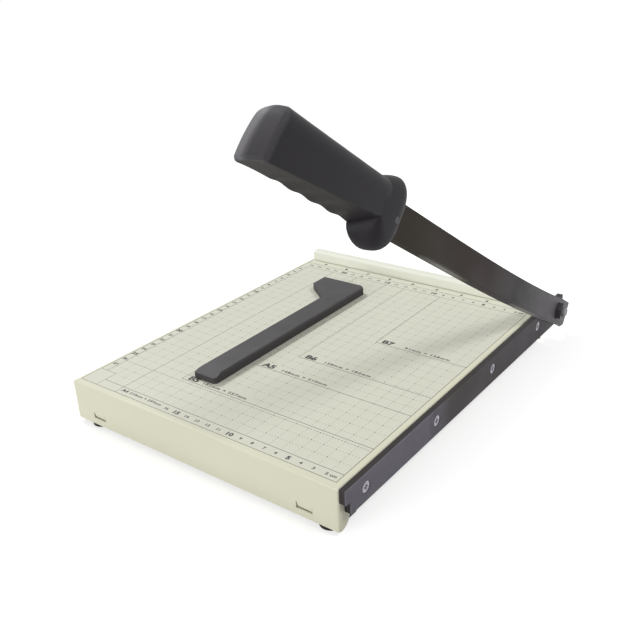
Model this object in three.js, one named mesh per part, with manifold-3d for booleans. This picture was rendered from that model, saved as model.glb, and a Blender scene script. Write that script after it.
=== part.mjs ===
import * as THREE from 'three';
import { mergeVertices } from 'three/addons/utils/BufferGeometryUtils.js';
import Module from 'manifold-3d';

// Guillotine paper cutter with a swinging blade arm and a loose stop gauge.
// Millimetres, +Z up, +X towards the blade side, -Y towards the person who cuts.
// Inside this file the datum is the corner where the fence's front face (Y = 0)
// meets the cutting plane (X = 0) at the level of the bed (Z = 0).
// The finished group is moved so that its origin is at the middle of its footprint,
// on the table that the feet stand on.

const wasm = await Module();
wasm.setup();

// Clearances, and the length by which every cutter runs past what it cuts
const seatGap = 0.3;
const holeClearance = 0.3;
const cutOverrun = 2;

// Base pan, folded from one sheet
const bedWidth = 247.5;
const bedLength = 303.8;
const bedBehindFenceFace = 11;
const panHeight = 31.8;
const sheet = 1.2;
const foldRadius = 2.4;
const panCornerRadius = 2;
const lipWidth = 1.8;
const bladeFlangeHeight = 16.5;
const frontTabDepth = 11;
const frontTabRadius = 8;
const rearTabDepth = 4.5;
const rearTabRadius = 3;

// Tabs lanced out of the front and rear walls, which hold the foot rails down
const lanceInset = 26.8;
const lanceWidth = 13;
const lanceHeight = 4.9;
const lanceAboveEdge = 5.2;
const lanceSlit = 0.6;
const lanceBend = 1.1;

// Fence
const fenceDepth = 9;
const fenceHeight = 9.5;
const fenceEdgeRadius = 2.5;
const fenceInsetLeft = 4;
const fenceInsetRight = 0.7;
const fenceScrewInset = 22;
const fenceScrewCount = 3;
const fenceScrewBite = 6;

// Fixed blade, a flat bar along the right-hand edge
const barThickness = 5;
const barProud = 0.6;
const barFrontHeight = 19;
const barRearHeight = 22.5;
const barTail = 31;
const notchLength = 5.5;
const notchHeight = 10;

// Row of screws that hold the fixed blade
const bladeScrewCount = 4;
const bladeScrewFrontInset = 22;
const bladeScrewRearInset = 13.6;
const bladeScrewDrop = 9;
const bladeScrewHead = 8;
const bladeScrewHeadHeight = 1.9;
const bladeScrewHeadSink = 2.6;
const bladeScrewShank = 5;
const bladeScrewTipLength = 2.5;
const bladeNutAcross = 8;
const bladeNutHeight = 4;

// Small cross-recessed screws of the fence and the feet
const smallShank = 4;
const smallHead = 7;
const smallHeadHeight = 2.2;

// Foot rails and feet
const railWidth = 20;
const railSheet = 1.5;
const railEndGap = 1;
const footDiameter = 16;
const footSoleDiameter = 15.6;
const footBoss = 11;
const footDrop = 3.6;
const footInsetFront = 8.8;
const footInsetLeft = 18.3;
const footInsetRight = 12.7;
const footRecess = 3;
const footScrewTipLength = 3;

// Pivot
const pivotBehindFenceFace = 23;
const pivotDrop = 7.5;
const pivotShank = 8;
const pivotHeadAcross = 13;
const pivotHeadHeight = 5.3;
const pivotNutAcross = 14;
const pivotNutHeight = 4.6;
const pivotStub = 2.6;
const pivotEndChamfer = 0.8;
const springLength = 15;
const springOuter = 14;
const springWire = 1.5;
const springCurls = 5;
const springWasherDiameter = 17;
const springWasherThickness = 1.6;

// Cutting arm
const armRestAngle = THREE.MathUtils.degToRad(30);
const bladeGap = 0.3;
const bladeThickness = 3;
const bladeWidth = 23.3;
const bladeNeckWidth = 22;
const bladeReach = 341.5;
const bladeTail = 25;
const bladeLift = 1.2;
const bladeBelly = 3.2;
const bellyPlaceShare = 0.39;
const bevelHeight = 3;
const bevelLand = 0.7;
const tangWidth = 17;
const tangLength = 78;

// Handle, moulded over the tang of the blade on its outer side
const handleLength = 121.5;
const gripWidth = 18;
const gripTop = 16;
const gripBottom = 11.6;
const gripTilt = 0.033;
const gripCreaseDrop = 5.4;
const gripCreaseFall = 0.022;
const gripCrownDrop = 5;
const gripRound = 1.5;
const gripShoulder = 3;
const gripFlare = 0.9;
const gripFlareLength = 22;
const guardWidth = 18.5;
const guardPocket = 4;
const guardLean = 0.16;
const guardFaceRadius = 9;
const guardSideRadius = 4;
const guardRound = 7.5;
const guardCreaseRound = 9;
const guardCrest = 4.2;
const guardCrestPlace = 6;
const guardCrestReach = 14;
const guardLobe = 10.8;
const guardLobePlace = 10.5;
const guardLobeReach = 13.5;
const guardLobeCrease = 1.5;
const fingerPitch = 18;
const fingerDepth = 0.8;
const fingerCount = 4;
const handleEndBow = 1.5;
const handleEndTopRadius = 7.5;
const handleEndFootRadius = 3;
const handleEndEdge = 1.2;
const handleEndLean = 0.33;
const handleEndInnerDrop = 3.5;
const handleEndOuterDrop = 2;
const tangScrewInset = 8.5;
const tangScrewPitch = 45;
const tangScrewDrop = 4.2;
const tangScrewBite = 10;

// Stop gauge and the magnets in its underside
const gaugeWidth = 21;
const gaugeLength = 203;
const gaugeHeight = 7;
const gaugeHeadWidth = 47;
const gaugeHeadEdge = 18;
const gaugeHeadSlope = 20;
const gaugeBackChamfer = 4;
const gaugeFrontSlope = 7;
const gaugeFrontHeight = 4.6;
const gaugeNoseWidth = 2;
const gaugeNoseLength = 2;
const gaugeBevel = 1;
const gaugeFromBlade = 154.2;
const gaugeFromFence = 47;
const magnetDiameter = 10;
const magnetHeight = 2.5;
const magnetInset = 22;
const magnetCount = 3;

// Places that follow from the sizes above
const panRight = -barThickness - seatGap;
const panLeft = panRight - bedWidth;
const panFront = -bedLength;
const panRear = bedBehindFenceFace;
const wallBottom = -panHeight;
const soleLevel = wallBottom - footDrop;
const railSeat = wallBottom + sheet + seatGap;
const railTop = railSeat + railSheet;
const barRear = panRear + barTail;
const armInner = bladeGap;
const armOuter = armInner + bladeThickness;
const handleStart = bladeReach - guardPocket;
const handleEnd = handleStart + handleLength;

// Geometry helpers

// A closed manifold solid from any three.js geometry with whole faces.
function toSolid(geometry) {
  const bare = geometry.clone();
  bare.deleteAttribute('normal');
  bare.deleteAttribute('uv');
  const merged = mergeVertices(bare);
  return new wasm.Manifold(new wasm.Mesh({
    numProp: 3,
    vertProperties: new Float32Array(merged.attributes.position.array),
    triVerts: new Uint32Array(merged.index.array),
  }));
}

function toGeometry(solid) {
  const mesh = solid.getMesh();
  const geometry = new THREE.BufferGeometry();
  geometry.setAttribute('position', new THREE.BufferAttribute(new Float32Array(mesh.vertProperties), 3));
  geometry.setIndex(new THREE.BufferAttribute(new Uint32Array(mesh.triVerts), 1));
  geometry.computeVertexNormals();
  return geometry;
}

function block(x, y, z) {
  const geometry = new THREE.BoxGeometry(x[1] - x[0], y[1] - y[0], z[1] - z[0]);
  geometry.translate((x[0] + x[1]) / 2, (y[0] + y[1]) / 2, (z[0] + z[1]) / 2);
  return toSolid(geometry);
}

function extrude(outline, length, curveSegments) {
  return new THREE.ExtrudeGeometry(outline, { depth: length, bevelEnabled: false, curveSegments });
}

// An outline in (y, z), carried from x[0] to x[1].
function alongX(outline, x, curveSegments = 4) {
  const geometry = extrude(outline, x[1] - x[0], curveSegments);
  const turn = new THREE.Matrix4().makeBasis(
    new THREE.Vector3(0, 1, 0), new THREE.Vector3(0, 0, 1), new THREE.Vector3(1, 0, 0));
  geometry.applyMatrix4(turn);
  geometry.translate(x[0], 0, 0);
  return toSolid(geometry);
}

// An outline in (x, z), carried from y[0] to y[1].
function alongY(outline, y, curveSegments = 4) {
  const geometry = extrude(outline, y[1] - y[0], curveSegments);
  const turn = new THREE.Matrix4().makeBasis(
    new THREE.Vector3(1, 0, 0), new THREE.Vector3(0, 0, 1), new THREE.Vector3(0, -1, 0));
  geometry.applyMatrix4(turn);
  geometry.translate(0, y[1], 0);
  return toSolid(geometry);
}

// An outline in (x, y), carried from z[0] to z[1].
function alongZ(outline, z, curveSegments = 4) {
  const geometry = extrude(outline, z[1] - z[0], curveSegments);
  geometry.translate(0, 0, z[0]);
  return toSolid(geometry);
}

// A round or six-sided bar, or a cone, along X through the point (y, z).
function barX(radius, x, y, z, sides = 20, farRadius = radius) {
  const geometry = new THREE.CylinderGeometry(farRadius, radius, x[1] - x[0], sides);
  geometry.rotateZ(-Math.PI / 2);
  geometry.translate((x[0] + x[1]) / 2, y, z);
  return toSolid(geometry);
}

// A round bar, or a cone, along Z through the point (x, y).
function barZ(radius, x, y, z, topRadius = radius, sides = 20) {
  const geometry = new THREE.CylinderGeometry(topRadius, radius, z[1] - z[0], sides);
  geometry.rotateX(Math.PI / 2);
  geometry.translate(x, y, (z[0] + z[1]) / 2);
  return toSolid(geometry);
}

function polygon(points) {
  const outline = new THREE.Shape();
  points.forEach(([u, v], index) => {
    if (index === 0) outline.moveTo(u, v);
    else outline.lineTo(u, v);
  });
  outline.closePath();
  return outline;
}

// A rectangle whose two upper corners are round.
function archOutline(low, high, bottom, top, radius) {
  const outline = new THREE.Shape();
  outline.moveTo(low, bottom);
  outline.lineTo(high, bottom);
  outline.lineTo(high, top - radius);
  outline.absarc(high - radius, top - radius, radius, 0, Math.PI / 2, false);
  outline.lineTo(low + radius, top);
  outline.absarc(low + radius, top - radius, radius, Math.PI / 2, Math.PI, false);
  outline.closePath();
  return outline;
}

// A rectangle whose four corners are round.
function roundedOutline(x, y, radius) {
  const outline = new THREE.Shape();
  outline.moveTo(x[0] + radius, y[0]);
  outline.lineTo(x[1] - radius, y[0]);
  outline.absarc(x[1] - radius, y[0] + radius, radius, -Math.PI / 2, 0, false);
  outline.lineTo(x[1], y[1] - radius);
  outline.absarc(x[1] - radius, y[1] - radius, radius, 0, Math.PI / 2, false);
  outline.lineTo(x[0] + radius, y[1]);
  outline.absarc(x[0] + radius, y[1] - radius, radius, Math.PI / 2, Math.PI, false);
  outline.lineTo(x[0], y[0] + radius);
  outline.absarc(x[0] + radius, y[0] + radius, radius, Math.PI, Math.PI * 3 / 2, false);
  return outline;
}

// A closed skin over rings of equally many points, with a flat cap at each end.
function loft(rings) {
  const sides = rings[0].length;
  const positions = [];
  const indices = [];
  rings.forEach((ring) => ring.forEach((point) => positions.push(point.x, point.y, point.z)));
  for (let ring = 0; ring < rings.length - 1; ring += 1) {
    for (let side = 0; side < sides; side += 1) {
      const a = ring * sides + side;
      const b = ring * sides + (side + 1) % sides;
      indices.push(a, b, b + sides, a, b + sides, a + sides);
    }
  }
  const last = (rings.length - 1) * sides;
  for (let side = 1; side < sides - 1; side += 1) {
    indices.push(0, side + 1, side);
    indices.push(last, last + side, last + side + 1);
  }
  const geometry = new THREE.BufferGeometry();
  geometry.setAttribute('position', new THREE.Float32BufferAttribute(positions, 3));
  geometry.setIndex(indices);
  geometry.computeVertexNormals();
  return geometry;
}

function cornerRadiusOfHex(across) {
  return across / Math.sqrt(3);
}

// Evenly spaced values from the first to the last.
function spread(count, first, last) {
  const steps = Math.max(count - 1, 1);
  return Array.from({ length: count }, (unused, index) => first + (last - first) * index / steps);
}

// Materials
function paint(color, roughness, metalness) {
  return () => new THREE.MeshStandardMaterial({ color, roughness, metalness });
}
const creamPaint = paint(0xd8d9c4, 0.45, 0.1);
const blackBar = paint(0x57545b, 0.45, 0.6);
const blackSteel = paint(0x45423f, 0.4, 0.7);
const blackPlastic = paint(0x333235, 0.5, 0);
const gaugePlastic = paint(0x5f5e60, 0.55, 0);
const brightZinc = paint(0xbdb9c6, 0.3, 0.9);
const darkZinc = paint(0x55535a, 0.4, 0.8);
const springSteel = paint(0xa8a8ac, 0.3, 0.9);
const footRubber = paint(0x2b2a28, 0.85, 0);
const magnetNickel = paint(0xb8b8ba, 0.3, 0.9);

const cutter = new THREE.Group();
const armGroup = new THREE.Group();
const gaugeGroup = new THREE.Group();

function addPart(name, geometry, material, group = cutter) {
  const mesh = new THREE.Mesh(geometry, material());
  mesh.name = name;
  group.add(mesh);
}

// Base pan

const bladeScrewRow = spread(bladeScrewCount, panFront + bladeScrewFrontInset, -bladeScrewRearInset);
const fenceLeft = panLeft + fenceInsetLeft;
const fenceRight = panRight - fenceInsetRight;
const fenceMiddle = fenceDepth / 2;
const fenceScrewRow = spread(fenceScrewCount, fenceLeft + fenceScrewInset, fenceRight - fenceScrewInset);
const lanceRow = [panLeft + lanceInset, panRight - lanceInset];
const lanceBottom = wallBottom + lanceAboveEdge;
const lanceTop = lanceBottom + lanceHeight;

// The space inside the outer faces of the pan, moved in by one wall thickness.
function panSpace(inset, bottom) {
  const x = [panLeft + inset, panRight - inset];
  const y = [panFront + inset, panRear - inset];
  const fold = foldRadius - inset;
  const corner = panCornerRadius - inset;
  const across = alongY(archOutline(x[0], x[1], bottom, -inset, fold), y);
  const lengthwise = alongX(archOutline(y[0], y[1], bottom, -inset, fold), x);
  const upright = alongZ(roundedOutline(x, y, corner), [bottom, 0]);
  return across.intersect(lengthwise).intersect(upright);
}

// The right-hand wall is only a flange behind the fixed blade, with a deep tab left at the front corner
// and a narrow one at the rear.
function bladeSideOpening() {
  const front = panFront + frontTabDepth;
  const rear = panRear - rearTabDepth;
  const frontArcLevel = wallBottom + frontTabRadius;
  const rearArcLevel = wallBottom + rearTabRadius;
  const outline = new THREE.Shape();
  outline.moveTo(front, -bladeFlangeHeight);
  outline.lineTo(front, frontArcLevel);
  outline.absarc(front - frontTabRadius, frontArcLevel, frontTabRadius, 0, -Math.PI / 2, true);
  outline.lineTo(front - frontTabRadius, wallBottom - cutOverrun);
  outline.lineTo(rear + rearTabRadius, wallBottom - cutOverrun);
  outline.lineTo(rear + rearTabRadius, wallBottom);
  outline.absarc(rear + rearTabRadius, rearArcLevel, rearTabRadius, -Math.PI / 2, -Math.PI, true);
  outline.lineTo(rear, -bladeFlangeHeight);
  outline.closePath();
  return alongX(outline, [panRight - sheet - cutOverrun, panRight + cutOverrun], 5);
}

// One lanced tab: three slits leave it hanging from its upper edge, and its foot is pushed inwards.
function lanceTab(pan, wallFace, inward, x) {
  const half = lanceWidth / 2;
  const through = [wallFace, wallFace + inward * sheet].sort((a, b) => a - b);
  const slitSpan = [through[0] - cutOverrun, through[1] + cutOverrun];
  const slits = [
    block([x - half, x - half + lanceSlit], slitSpan, [lanceBottom, lanceTop]),
    block([x + half - lanceSlit, x + half], slitSpan, [lanceBottom, lanceTop]),
    block([x - half, x + half], slitSpan, [lanceBottom, lanceBottom + lanceSlit]),
  ];
  const tabX = [x - half + lanceSlit, x + half - lanceSlit];
  const tabFoot = lanceBottom + lanceSlit;
  const wedge = (face) => alongX(polygon([
    [face, lanceTop],
    [face, tabFoot],
    [face + inward * lanceBend, tabFoot],
  ]), tabX);
  let result = pan;
  slits.forEach((slit) => {
    result = result.subtract(slit);
  });
  return result.add(wedge(wallFace + inward * sheet)).subtract(wedge(wallFace));
}

function buildBasePan() {
  let pan = panSpace(0, wallBottom).subtract(panSpace(sheet, wallBottom + sheet));
  const lip = sheet + lipWidth;
  pan = pan.subtract(block(
    [panLeft + lip, panRight - sheet],
    [panFront + lip, panRear - lip],
    [wallBottom - cutOverrun, wallBottom + sheet + cutOverrun]));
  pan = pan.subtract(bladeSideOpening());
  lanceRow.forEach((x) => {
    pan = lanceTab(pan, panFront, 1, x);
    pan = lanceTab(pan, panRear, -1, x);
  });
  const flange = [panRight - sheet - cutOverrun, panRight + cutOverrun];
  bladeScrewRow.forEach((y) => {
    pan = pan.subtract(barX(bladeScrewShank / 2 + holeClearance, flange, y, -bladeScrewDrop));
  });
  fenceScrewRow.forEach((x) => {
    const top = [-sheet - cutOverrun, cutOverrun];
    pan = pan.subtract(barZ(smallShank / 2 + holeClearance, x, fenceMiddle, top));
  });
  addPart('base_pan', toGeometry(pan), creamPaint);
}

// Fence, with blind holes for the screws that come up through the bed
function buildFence() {
  const outline = new THREE.Shape();
  outline.moveTo(0, seatGap);
  outline.lineTo(fenceDepth, seatGap);
  outline.lineTo(fenceDepth, fenceHeight);
  outline.lineTo(fenceEdgeRadius, fenceHeight);
  const arcLevel = fenceHeight - fenceEdgeRadius;
  outline.absarc(fenceEdgeRadius, arcLevel, fenceEdgeRadius, Math.PI / 2, Math.PI, false);
  outline.closePath();
  let fence = alongX(outline, [fenceLeft, fenceRight]);
  const hole = [seatGap - cutOverrun, fenceScrewBite + holeClearance];
  fenceScrewRow.forEach((x) => {
    fence = fence.subtract(barZ(smallShank / 2 + holeClearance, x, fenceMiddle, hole));
  });
  addPart('fence_rail', toGeometry(fence), creamPaint);
}

// Two crossed slots about the origin, as deep above Z = 0 as below it.
const recessLengthShare = 0.55;
const recessWidthShare = 0.16;
const recessDepthShare = 0.6;

function crossRecess(head, height) {
  const reach = head * recessLengthShare / 2;
  const half = head * recessWidthShare / 2;
  const depth = height * recessDepthShare;
  const slot = block([-reach, reach], [-half, half], [-depth, depth]);
  return slot.add(slot.rotate([0, 0, 90]));
}

// A pan-head screw that points up, with a cross recess in the head.
const headCrownShare = 0.8;

function uprightScrew(x, y, seat, tip) {
  const headBottom = seat - smallHeadHeight;
  const head = barZ(smallHead / 2 * headCrownShare, x, y, [headBottom, seat], smallHead / 2);
  const shank = barZ(smallShank / 2, x, y, [seat - smallHeadHeight / 2, tip]);
  const recess = crossRecess(smallHead, smallHeadHeight);
  return head.add(shank).subtract(recess.translate([x, y, headBottom]));
}

function buildFenceScrews() {
  const names = ['fence_screw_left', 'fence_screw_middle', 'fence_screw_right'];
  fenceScrewRow.forEach((x, index) => {
    const screw = uprightScrew(x, fenceMiddle, -sheet - seatGap, fenceScrewBite);
    addPart(names[index] ?? `fence_screw_${index + 1}`, toGeometry(screw), brightZinc);
  });
}

// Foot rails: channels that lie on the pan's lips under the lanced tabs

const feet = [
  ['front_left', panLeft + footInsetLeft, panFront + footInsetFront],
  ['front_right', panRight - footInsetRight, panFront + footInsetFront],
  ['rear_left', panLeft + footInsetLeft, panRear - footInsetFront],
  ['rear_right', panRight - footInsetRight, panRear - footInsetFront],
];

function buildFootRail(name, near, rowFeet) {
  const far = near + railWidth;
  const top = lanceBottom + lanceSlit - seatGap;
  const channel = polygon([
    [near, railSeat],
    [far, railSeat],
    [far, top],
    [far - railSheet, top],
    [far - railSheet, railTop],
    [near + railSheet, railTop],
    [near + railSheet, top],
    [near, top],
  ]);
  const ends = [panLeft + sheet + railEndGap, panRight - sheet - railEndGap];
  let rail = alongX(channel, ends);
  rowFeet.forEach(([, x, y]) => {
    const hole = barZ(smallShank / 2 + holeClearance, x, y, [railSeat - cutOverrun, railTop + cutOverrun]);
    rail = rail.subtract(hole);
  });
  addPart(name, toGeometry(rail), darkZinc);
}

function buildFootRails() {
  buildFootRail('front_foot_rail', panFront + sheet + seatGap, feet.slice(0, 2));
  buildFootRail('rear_foot_rail', panRear - sheet - seatGap - railWidth, feet.slice(2));
}

// Round rubber feet, each with a sunk hole for its screw
function buildFeet() {
  const top = railSeat - seatGap;
  const discTop = wallBottom - seatGap;
  feet.forEach(([place, x, y]) => {
    const disc = barZ(footSoleDiameter / 2, x, y, [soleLevel, discTop], footDiameter / 2, 24);
    const body = disc.add(barZ(footBoss / 2, x, y, [soleLevel, top], footBoss / 2, 24));
    const recess = barZ(smallHead / 2 + seatGap, x, y, [soleLevel - cutOverrun, soleLevel + footRecess]);
    const hole = barZ(smallShank / 2 + holeClearance, x, y, [soleLevel, top + cutOverrun]);
    addPart(`foot_${place}`, toGeometry(body.subtract(recess).subtract(hole)), footRubber);
    const screw = uprightScrew(x, y, soleLevel + footRecess - seatGap, railTop + footScrewTipLength);
    addPart(`foot_screw_${place}`, toGeometry(screw), brightZinc);
  });
}

// Fixed blade
function buildFixedBlade() {
  const outline = polygon([
    [panFront, barProud],
    [panFront, barProud - notchHeight],
    [panFront + notchLength, barProud - notchHeight],
    [panFront + notchLength, -barFrontHeight],
    [barRear, -barRearHeight],
    [barRear, barProud],
  ]);
  let bar = alongX(outline, [-barThickness, 0]);
  const through = [-barThickness - cutOverrun, cutOverrun];
  bladeScrewRow.forEach((y) => {
    const sink = [-bladeScrewHeadSink, cutOverrun];
    bar = bar.subtract(barX(bladeScrewHead / 2 + holeClearance, sink, y, -bladeScrewDrop, 24));
    bar = bar.subtract(barX(bladeScrewShank / 2 + holeClearance, through, y, -bladeScrewDrop));
  });
  bar = bar.subtract(barX(pivotShank / 2 + holeClearance, through, pivotBehindFenceFace, -pivotDrop, 24));
  addPart('fixed_blade', toGeometry(bar), blackBar);
}

// Screws of the fixed blade, heads sunk in the bar, nuts behind the pan's flange
function buildBladeScrews() {
  const seat = -bladeScrewHeadSink + seatGap;
  const nutFar = panRight - sheet - seatGap - bladeNutHeight;
  const nut = [nutFar, nutFar + bladeNutHeight];
  const tip = nutFar - bladeScrewTipLength;
  bladeScrewRow.forEach((y, index) => {
    const head = barX(bladeScrewHead / 2, [seat, seat + bladeScrewHeadHeight], y, -bladeScrewDrop, 24);
    const shank = barX(bladeScrewShank / 2, [tip, seat + bladeScrewHeadHeight / 2], y, -bladeScrewDrop);
    const recess = crossRecess(bladeScrewHead, bladeScrewHeadHeight).rotate([0, 90, 0]);
    const slots = recess.translate([seat + bladeScrewHeadHeight, y, -bladeScrewDrop]);
    const screw = head.add(shank).subtract(slots);
    addPart(`blade_screw_${index + 1}`, toGeometry(screw), brightZinc);
    const hex = barX(cornerRadiusOfHex(bladeNutAcross), nut, y, -bladeScrewDrop, 6);
    const bore = barX(bladeScrewShank / 2 + holeClearance, [tip, nut[1] + cutOverrun], y, -bladeScrewDrop);
    addPart(`blade_nut_${index + 1}`, toGeometry(hex.subtract(bore)), brightZinc);
  });
}

// Pivot: a bolt through the bar and the arm, drawn inwards by a spring behind the bar

const springNear = -barThickness - seatGap;
const springFar = springNear - springLength;
const washerFar = springFar - seatGap - springWasherThickness;
const pivotHeadSeat = washerFar - seatGap;
const pivotNutSeat = armOuter + seatGap;
const pivotNutFar = pivotNutSeat + pivotNutHeight;

function onPivot(radius, x, sides = 24) {
  return barX(radius, x, pivotBehindFenceFace, -pivotDrop, sides);
}

function buildPivot() {
  const tip = pivotNutFar + pivotStub;
  const shankEnd = tip - pivotEndChamfer;
  const headFar = pivotHeadSeat - pivotHeadHeight;
  const head = onPivot(cornerRadiusOfHex(pivotHeadAcross), [headFar, pivotHeadSeat], 6);
  const shank = onPivot(pivotShank / 2, [headFar + pivotHeadHeight / 2, shankEnd]);
  const tipRadius = pivotShank / 2 - pivotEndChamfer;
  const point = barX(pivotShank / 2, [shankEnd, tip], pivotBehindFenceFace, -pivotDrop, 24, tipRadius);
  addPart('pivot_bolt', toGeometry(head.add(shank).add(point)), brightZinc);

  const bore = pivotShank / 2 + holeClearance;
  const washer = [washerFar, washerFar + springWasherThickness];
  const disc = onPivot(springWasherDiameter / 2, washer);
  const washerBore = onPivot(bore, [washer[0] - cutOverrun, washer[1] + cutOverrun]);
  addPart('spring_washer', toGeometry(disc.subtract(washerBore)), brightZinc);
  const nut = onPivot(cornerRadiusOfHex(pivotNutAcross), [pivotNutSeat, pivotNutFar], 6);
  const nutBore = onPivot(bore, [pivotNutSeat - cutOverrun, pivotNutFar + cutOverrun]);
  addPart('pivot_nut', toGeometry(nut.subtract(nutBore)), darkZinc);
}

// The coil spring: one tube of five sides, eight steps a curl. Each end stands straight
// along the bolt for one tube diameter, square to the bar or the washer that it presses on.
function buildSpring() {
  const tubeSides = 5;
  const stepsPerCurl = 8;
  const radius = (springOuter - springWire) / 2;
  const steps = springCurls * stepsPerCurl;
  const rise = springLength - 2 * springWire - springWire;
  const centre = [];
  const across = [];
  const place = (angle, x) => new THREE.Vector3(
    x,
    pivotBehindFenceFace + radius * Math.cos(angle),
    -pivotDrop + radius * Math.sin(angle));
  const start = springFar + springWire + springWire / 2;
  centre.push(place(0, springFar));
  across.push(new THREE.Vector3(1, 0, 0));
  centre.push(place(0, springFar + springWire));
  across.push(new THREE.Vector3(1, 0, 1).normalize());
  for (let step = 1; step < steps; step += 1) {
    const angle = 2 * Math.PI * step / stepsPerCurl;
    centre.push(place(angle, start + rise * step / steps));
    const slope = rise / (springCurls * 2 * Math.PI * radius);
    across.push(new THREE.Vector3(slope, -Math.sin(angle), Math.cos(angle)).normalize());
  }
  const endAngle = 2 * Math.PI * springCurls;
  centre.push(place(endAngle, springNear - springWire));
  across.push(new THREE.Vector3(1, 0, 1).normalize());
  centre.push(place(endAngle, springNear));
  across.push(new THREE.Vector3(1, 0, 0));
  const outward = (point) => new THREE.Vector3(
    0, point.y - pivotBehindFenceFace, point.z + pivotDrop).normalize();
  const rings = centre.map((point, index) => {
    const first = outward(point);
    const second = new THREE.Vector3().crossVectors(across[index], first).normalize();
    return Array.from({ length: tubeSides }, (unused, side) => {
      const turn = 2 * Math.PI * side / tubeSides;
      return point.clone()
        .addScaledVector(first, Math.cos(turn) * springWire / 2)
        .addScaledVector(second, Math.sin(turn) * springWire / 2);
    });
  });
  const curl = rings.slice(2, -2);
  let least = Infinity;
  curl.forEach((ring, index) => {
    const other = curl[index + stepsPerCurl];
    if (!other) return;
    ring.forEach((a) => other.forEach((b) => {
      least = Math.min(least, a.distanceTo(b));
    }));
  });
  console.log(`pivot_spring: least gap between its curls ${least.toFixed(2)} mm`);
  addPart('pivot_spring', loft(rings), springSteel);
}

// Cutting arm, in a frame of its own: the pivot is the origin, -Y runs along the arm
// to the handle, +Z is across its width and +X away from the fixed blade.

// The blade's centre line hangs below the straight line from the pivot to the tang.
function bladeCentre(along) {
  const share = Math.max(along / bladeReach, 0);
  const sag = Math.sin(Math.PI * share ** (Math.log(1 / 2) / Math.log(bellyPlaceShare)));
  return bladeLift * share - bladeBelly * sag;
}

const tangEnd = bladeReach + tangLength;
const tangScrewLevel = bladeLift - tangScrewDrop;
const tangScrewRow = [handleStart + tangScrewInset, handleStart + tangScrewInset + tangScrewPitch];
const bladeSteps = 18;

function buildCuttingArm() {
  const rings = spread(bladeSteps + 1, -bladeTail, bladeReach).map((along) => {
    const middle = bladeCentre(along);
    const half = THREE.MathUtils.lerp(bladeWidth, bladeNeckWidth, Math.max(along / bladeReach, 0)) / 2;
    return [
      [armInner, middle - half],
      [armInner + bevelLand, middle - half],
      [armOuter, middle - half + bevelHeight],
      [armOuter, middle + half],
      [armInner, middle + half],
    ].map(([x, z]) => new THREE.Vector3(x, -along, z));
  });
  let arm = toSolid(loft(rings));
  arm = arm.add(block(
    [armInner, armOuter],
    [-tangEnd, -bladeReach + cutOverrun],
    [bladeLift - tangWidth / 2, bladeLift + tangWidth / 2]));
  const through = [armInner - cutOverrun, armOuter + cutOverrun];
  arm = arm.subtract(barX(pivotShank / 2 + holeClearance, through, 0, 0, 24));
  tangScrewRow.forEach((along) => {
    arm = arm.subtract(barX(smallShank / 2 + holeClearance, through, -along, tangScrewLevel));
  });
  addPart('cutting_arm', toGeometry(arm), blackSteel, armGroup);
}

// Handle

// How far out a round lobe stands, as a share, at a distance from the lobe's middle.
function lobeShare(distance, reach) {
  return Math.sqrt(Math.max(0, 1 - (distance / reach) ** 2));
}
const lobePlace = handleStart + guardLobePlace;
const lobeEnd = lobePlace + guardLobeReach;
const crestPlace = handleStart + guardCrestPlace;

// Width, top, bottom and crease of the handle's section at a distance from the pivot. The guard
// has a low crest above and a round lobe below, and the grip four shallow grooves for the fingers,
// which run out before the crease at the outer side. The underside flares a little at the end.
function handleSection(along) {
  const lobe = lobeShare(along - lobePlace, guardLobeReach);
  const crest = along < crestPlace ? 1 : lobeShare(along - crestPlace, guardCrestReach) ** 2;
  const depth = along < lobePlace ? THREE.MathUtils.lerp(lobeRootShare, 1, lobe) : lobe;
  const onGrip = Math.max(along - lobeEnd, 0);
  const finger = onGrip / fingerPitch;
  const groove = finger < fingerCount ? fingerDepth * Math.sin(Math.PI * finger) ** 2 : 0;
  const flare = gripFlare * Math.max(1 - (handleEnd - along) / gripFlareLength, 0) ** 2;
  const bottom = gripTilt * onGrip + groove - flare - gripBottom - guardLobe * depth;
  const creaseLine = -gripCreaseDrop - gripCreaseFall * onGrip;
  return {
    lobe,
    width: THREE.MathUtils.lerp(gripWidth, guardWidth, depth * lobe),
    top: gripTop + guardCrest * crest + gripTilt * onGrip,
    bottom,
    crease: THREE.MathUtils.lerp(creaseLine, bottom + guardLobeCrease, lobe),
  };
}
const lobeRootShare = 0.6;
const innerDrawShare = 0.3;
const crownShare = 0.45;

// The handle's outline at a distance from the pivot: flat on the blade side, a crowned top,
// and an underside that rises to a crease at the outer side. The two draws pull it in.
function handleOutline(along, drawX, drawZ) {
  const section = handleSection(along);
  const inner = armInner + drawX * innerDrawShare;
  const outer = armInner + section.width - drawX;
  const high = section.top - drawZ;
  const low = section.bottom + drawZ;
  const crease = section.crease + drawZ;
  const round = THREE.MathUtils.lerp(gripRound, guardRound, section.lobe);
  const creaseRound = THREE.MathUtils.lerp(gripRound, guardCreaseRound, section.lobe);
  const crown = THREE.MathUtils.lerp(inner, outer, crownShare);
  const rise = (crease - low) / (outer - inner);
  const outline = new THREE.Path();
  outline.moveTo(inner, low + round);
  outline.quadraticCurveTo(inner, low, inner + round, low + rise * round);
  outline.lineTo(crown, low + rise * (crown - inner));
  outline.lineTo(outer - creaseRound, crease - rise * creaseRound);
  outline.quadraticCurveTo(outer, crease, outer, crease + creaseRound);
  outline.lineTo(outer, (high + low) / 2 + gripShoulder);
  outline.quadraticCurveTo(outer, high, crown, high);
  outline.quadraticCurveTo(inner, high, inner, high - gripCrownDrop);
  return outline.getPoints(4);
}

// How far a corner of this radius falls back, at a distance past the point where it begins
function cornerDrop(past, radius) {
  const part = THREE.MathUtils.clamp(past, 0, radius);
  return radius - Math.sqrt(radius ** 2 - part ** 2);
}

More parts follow.
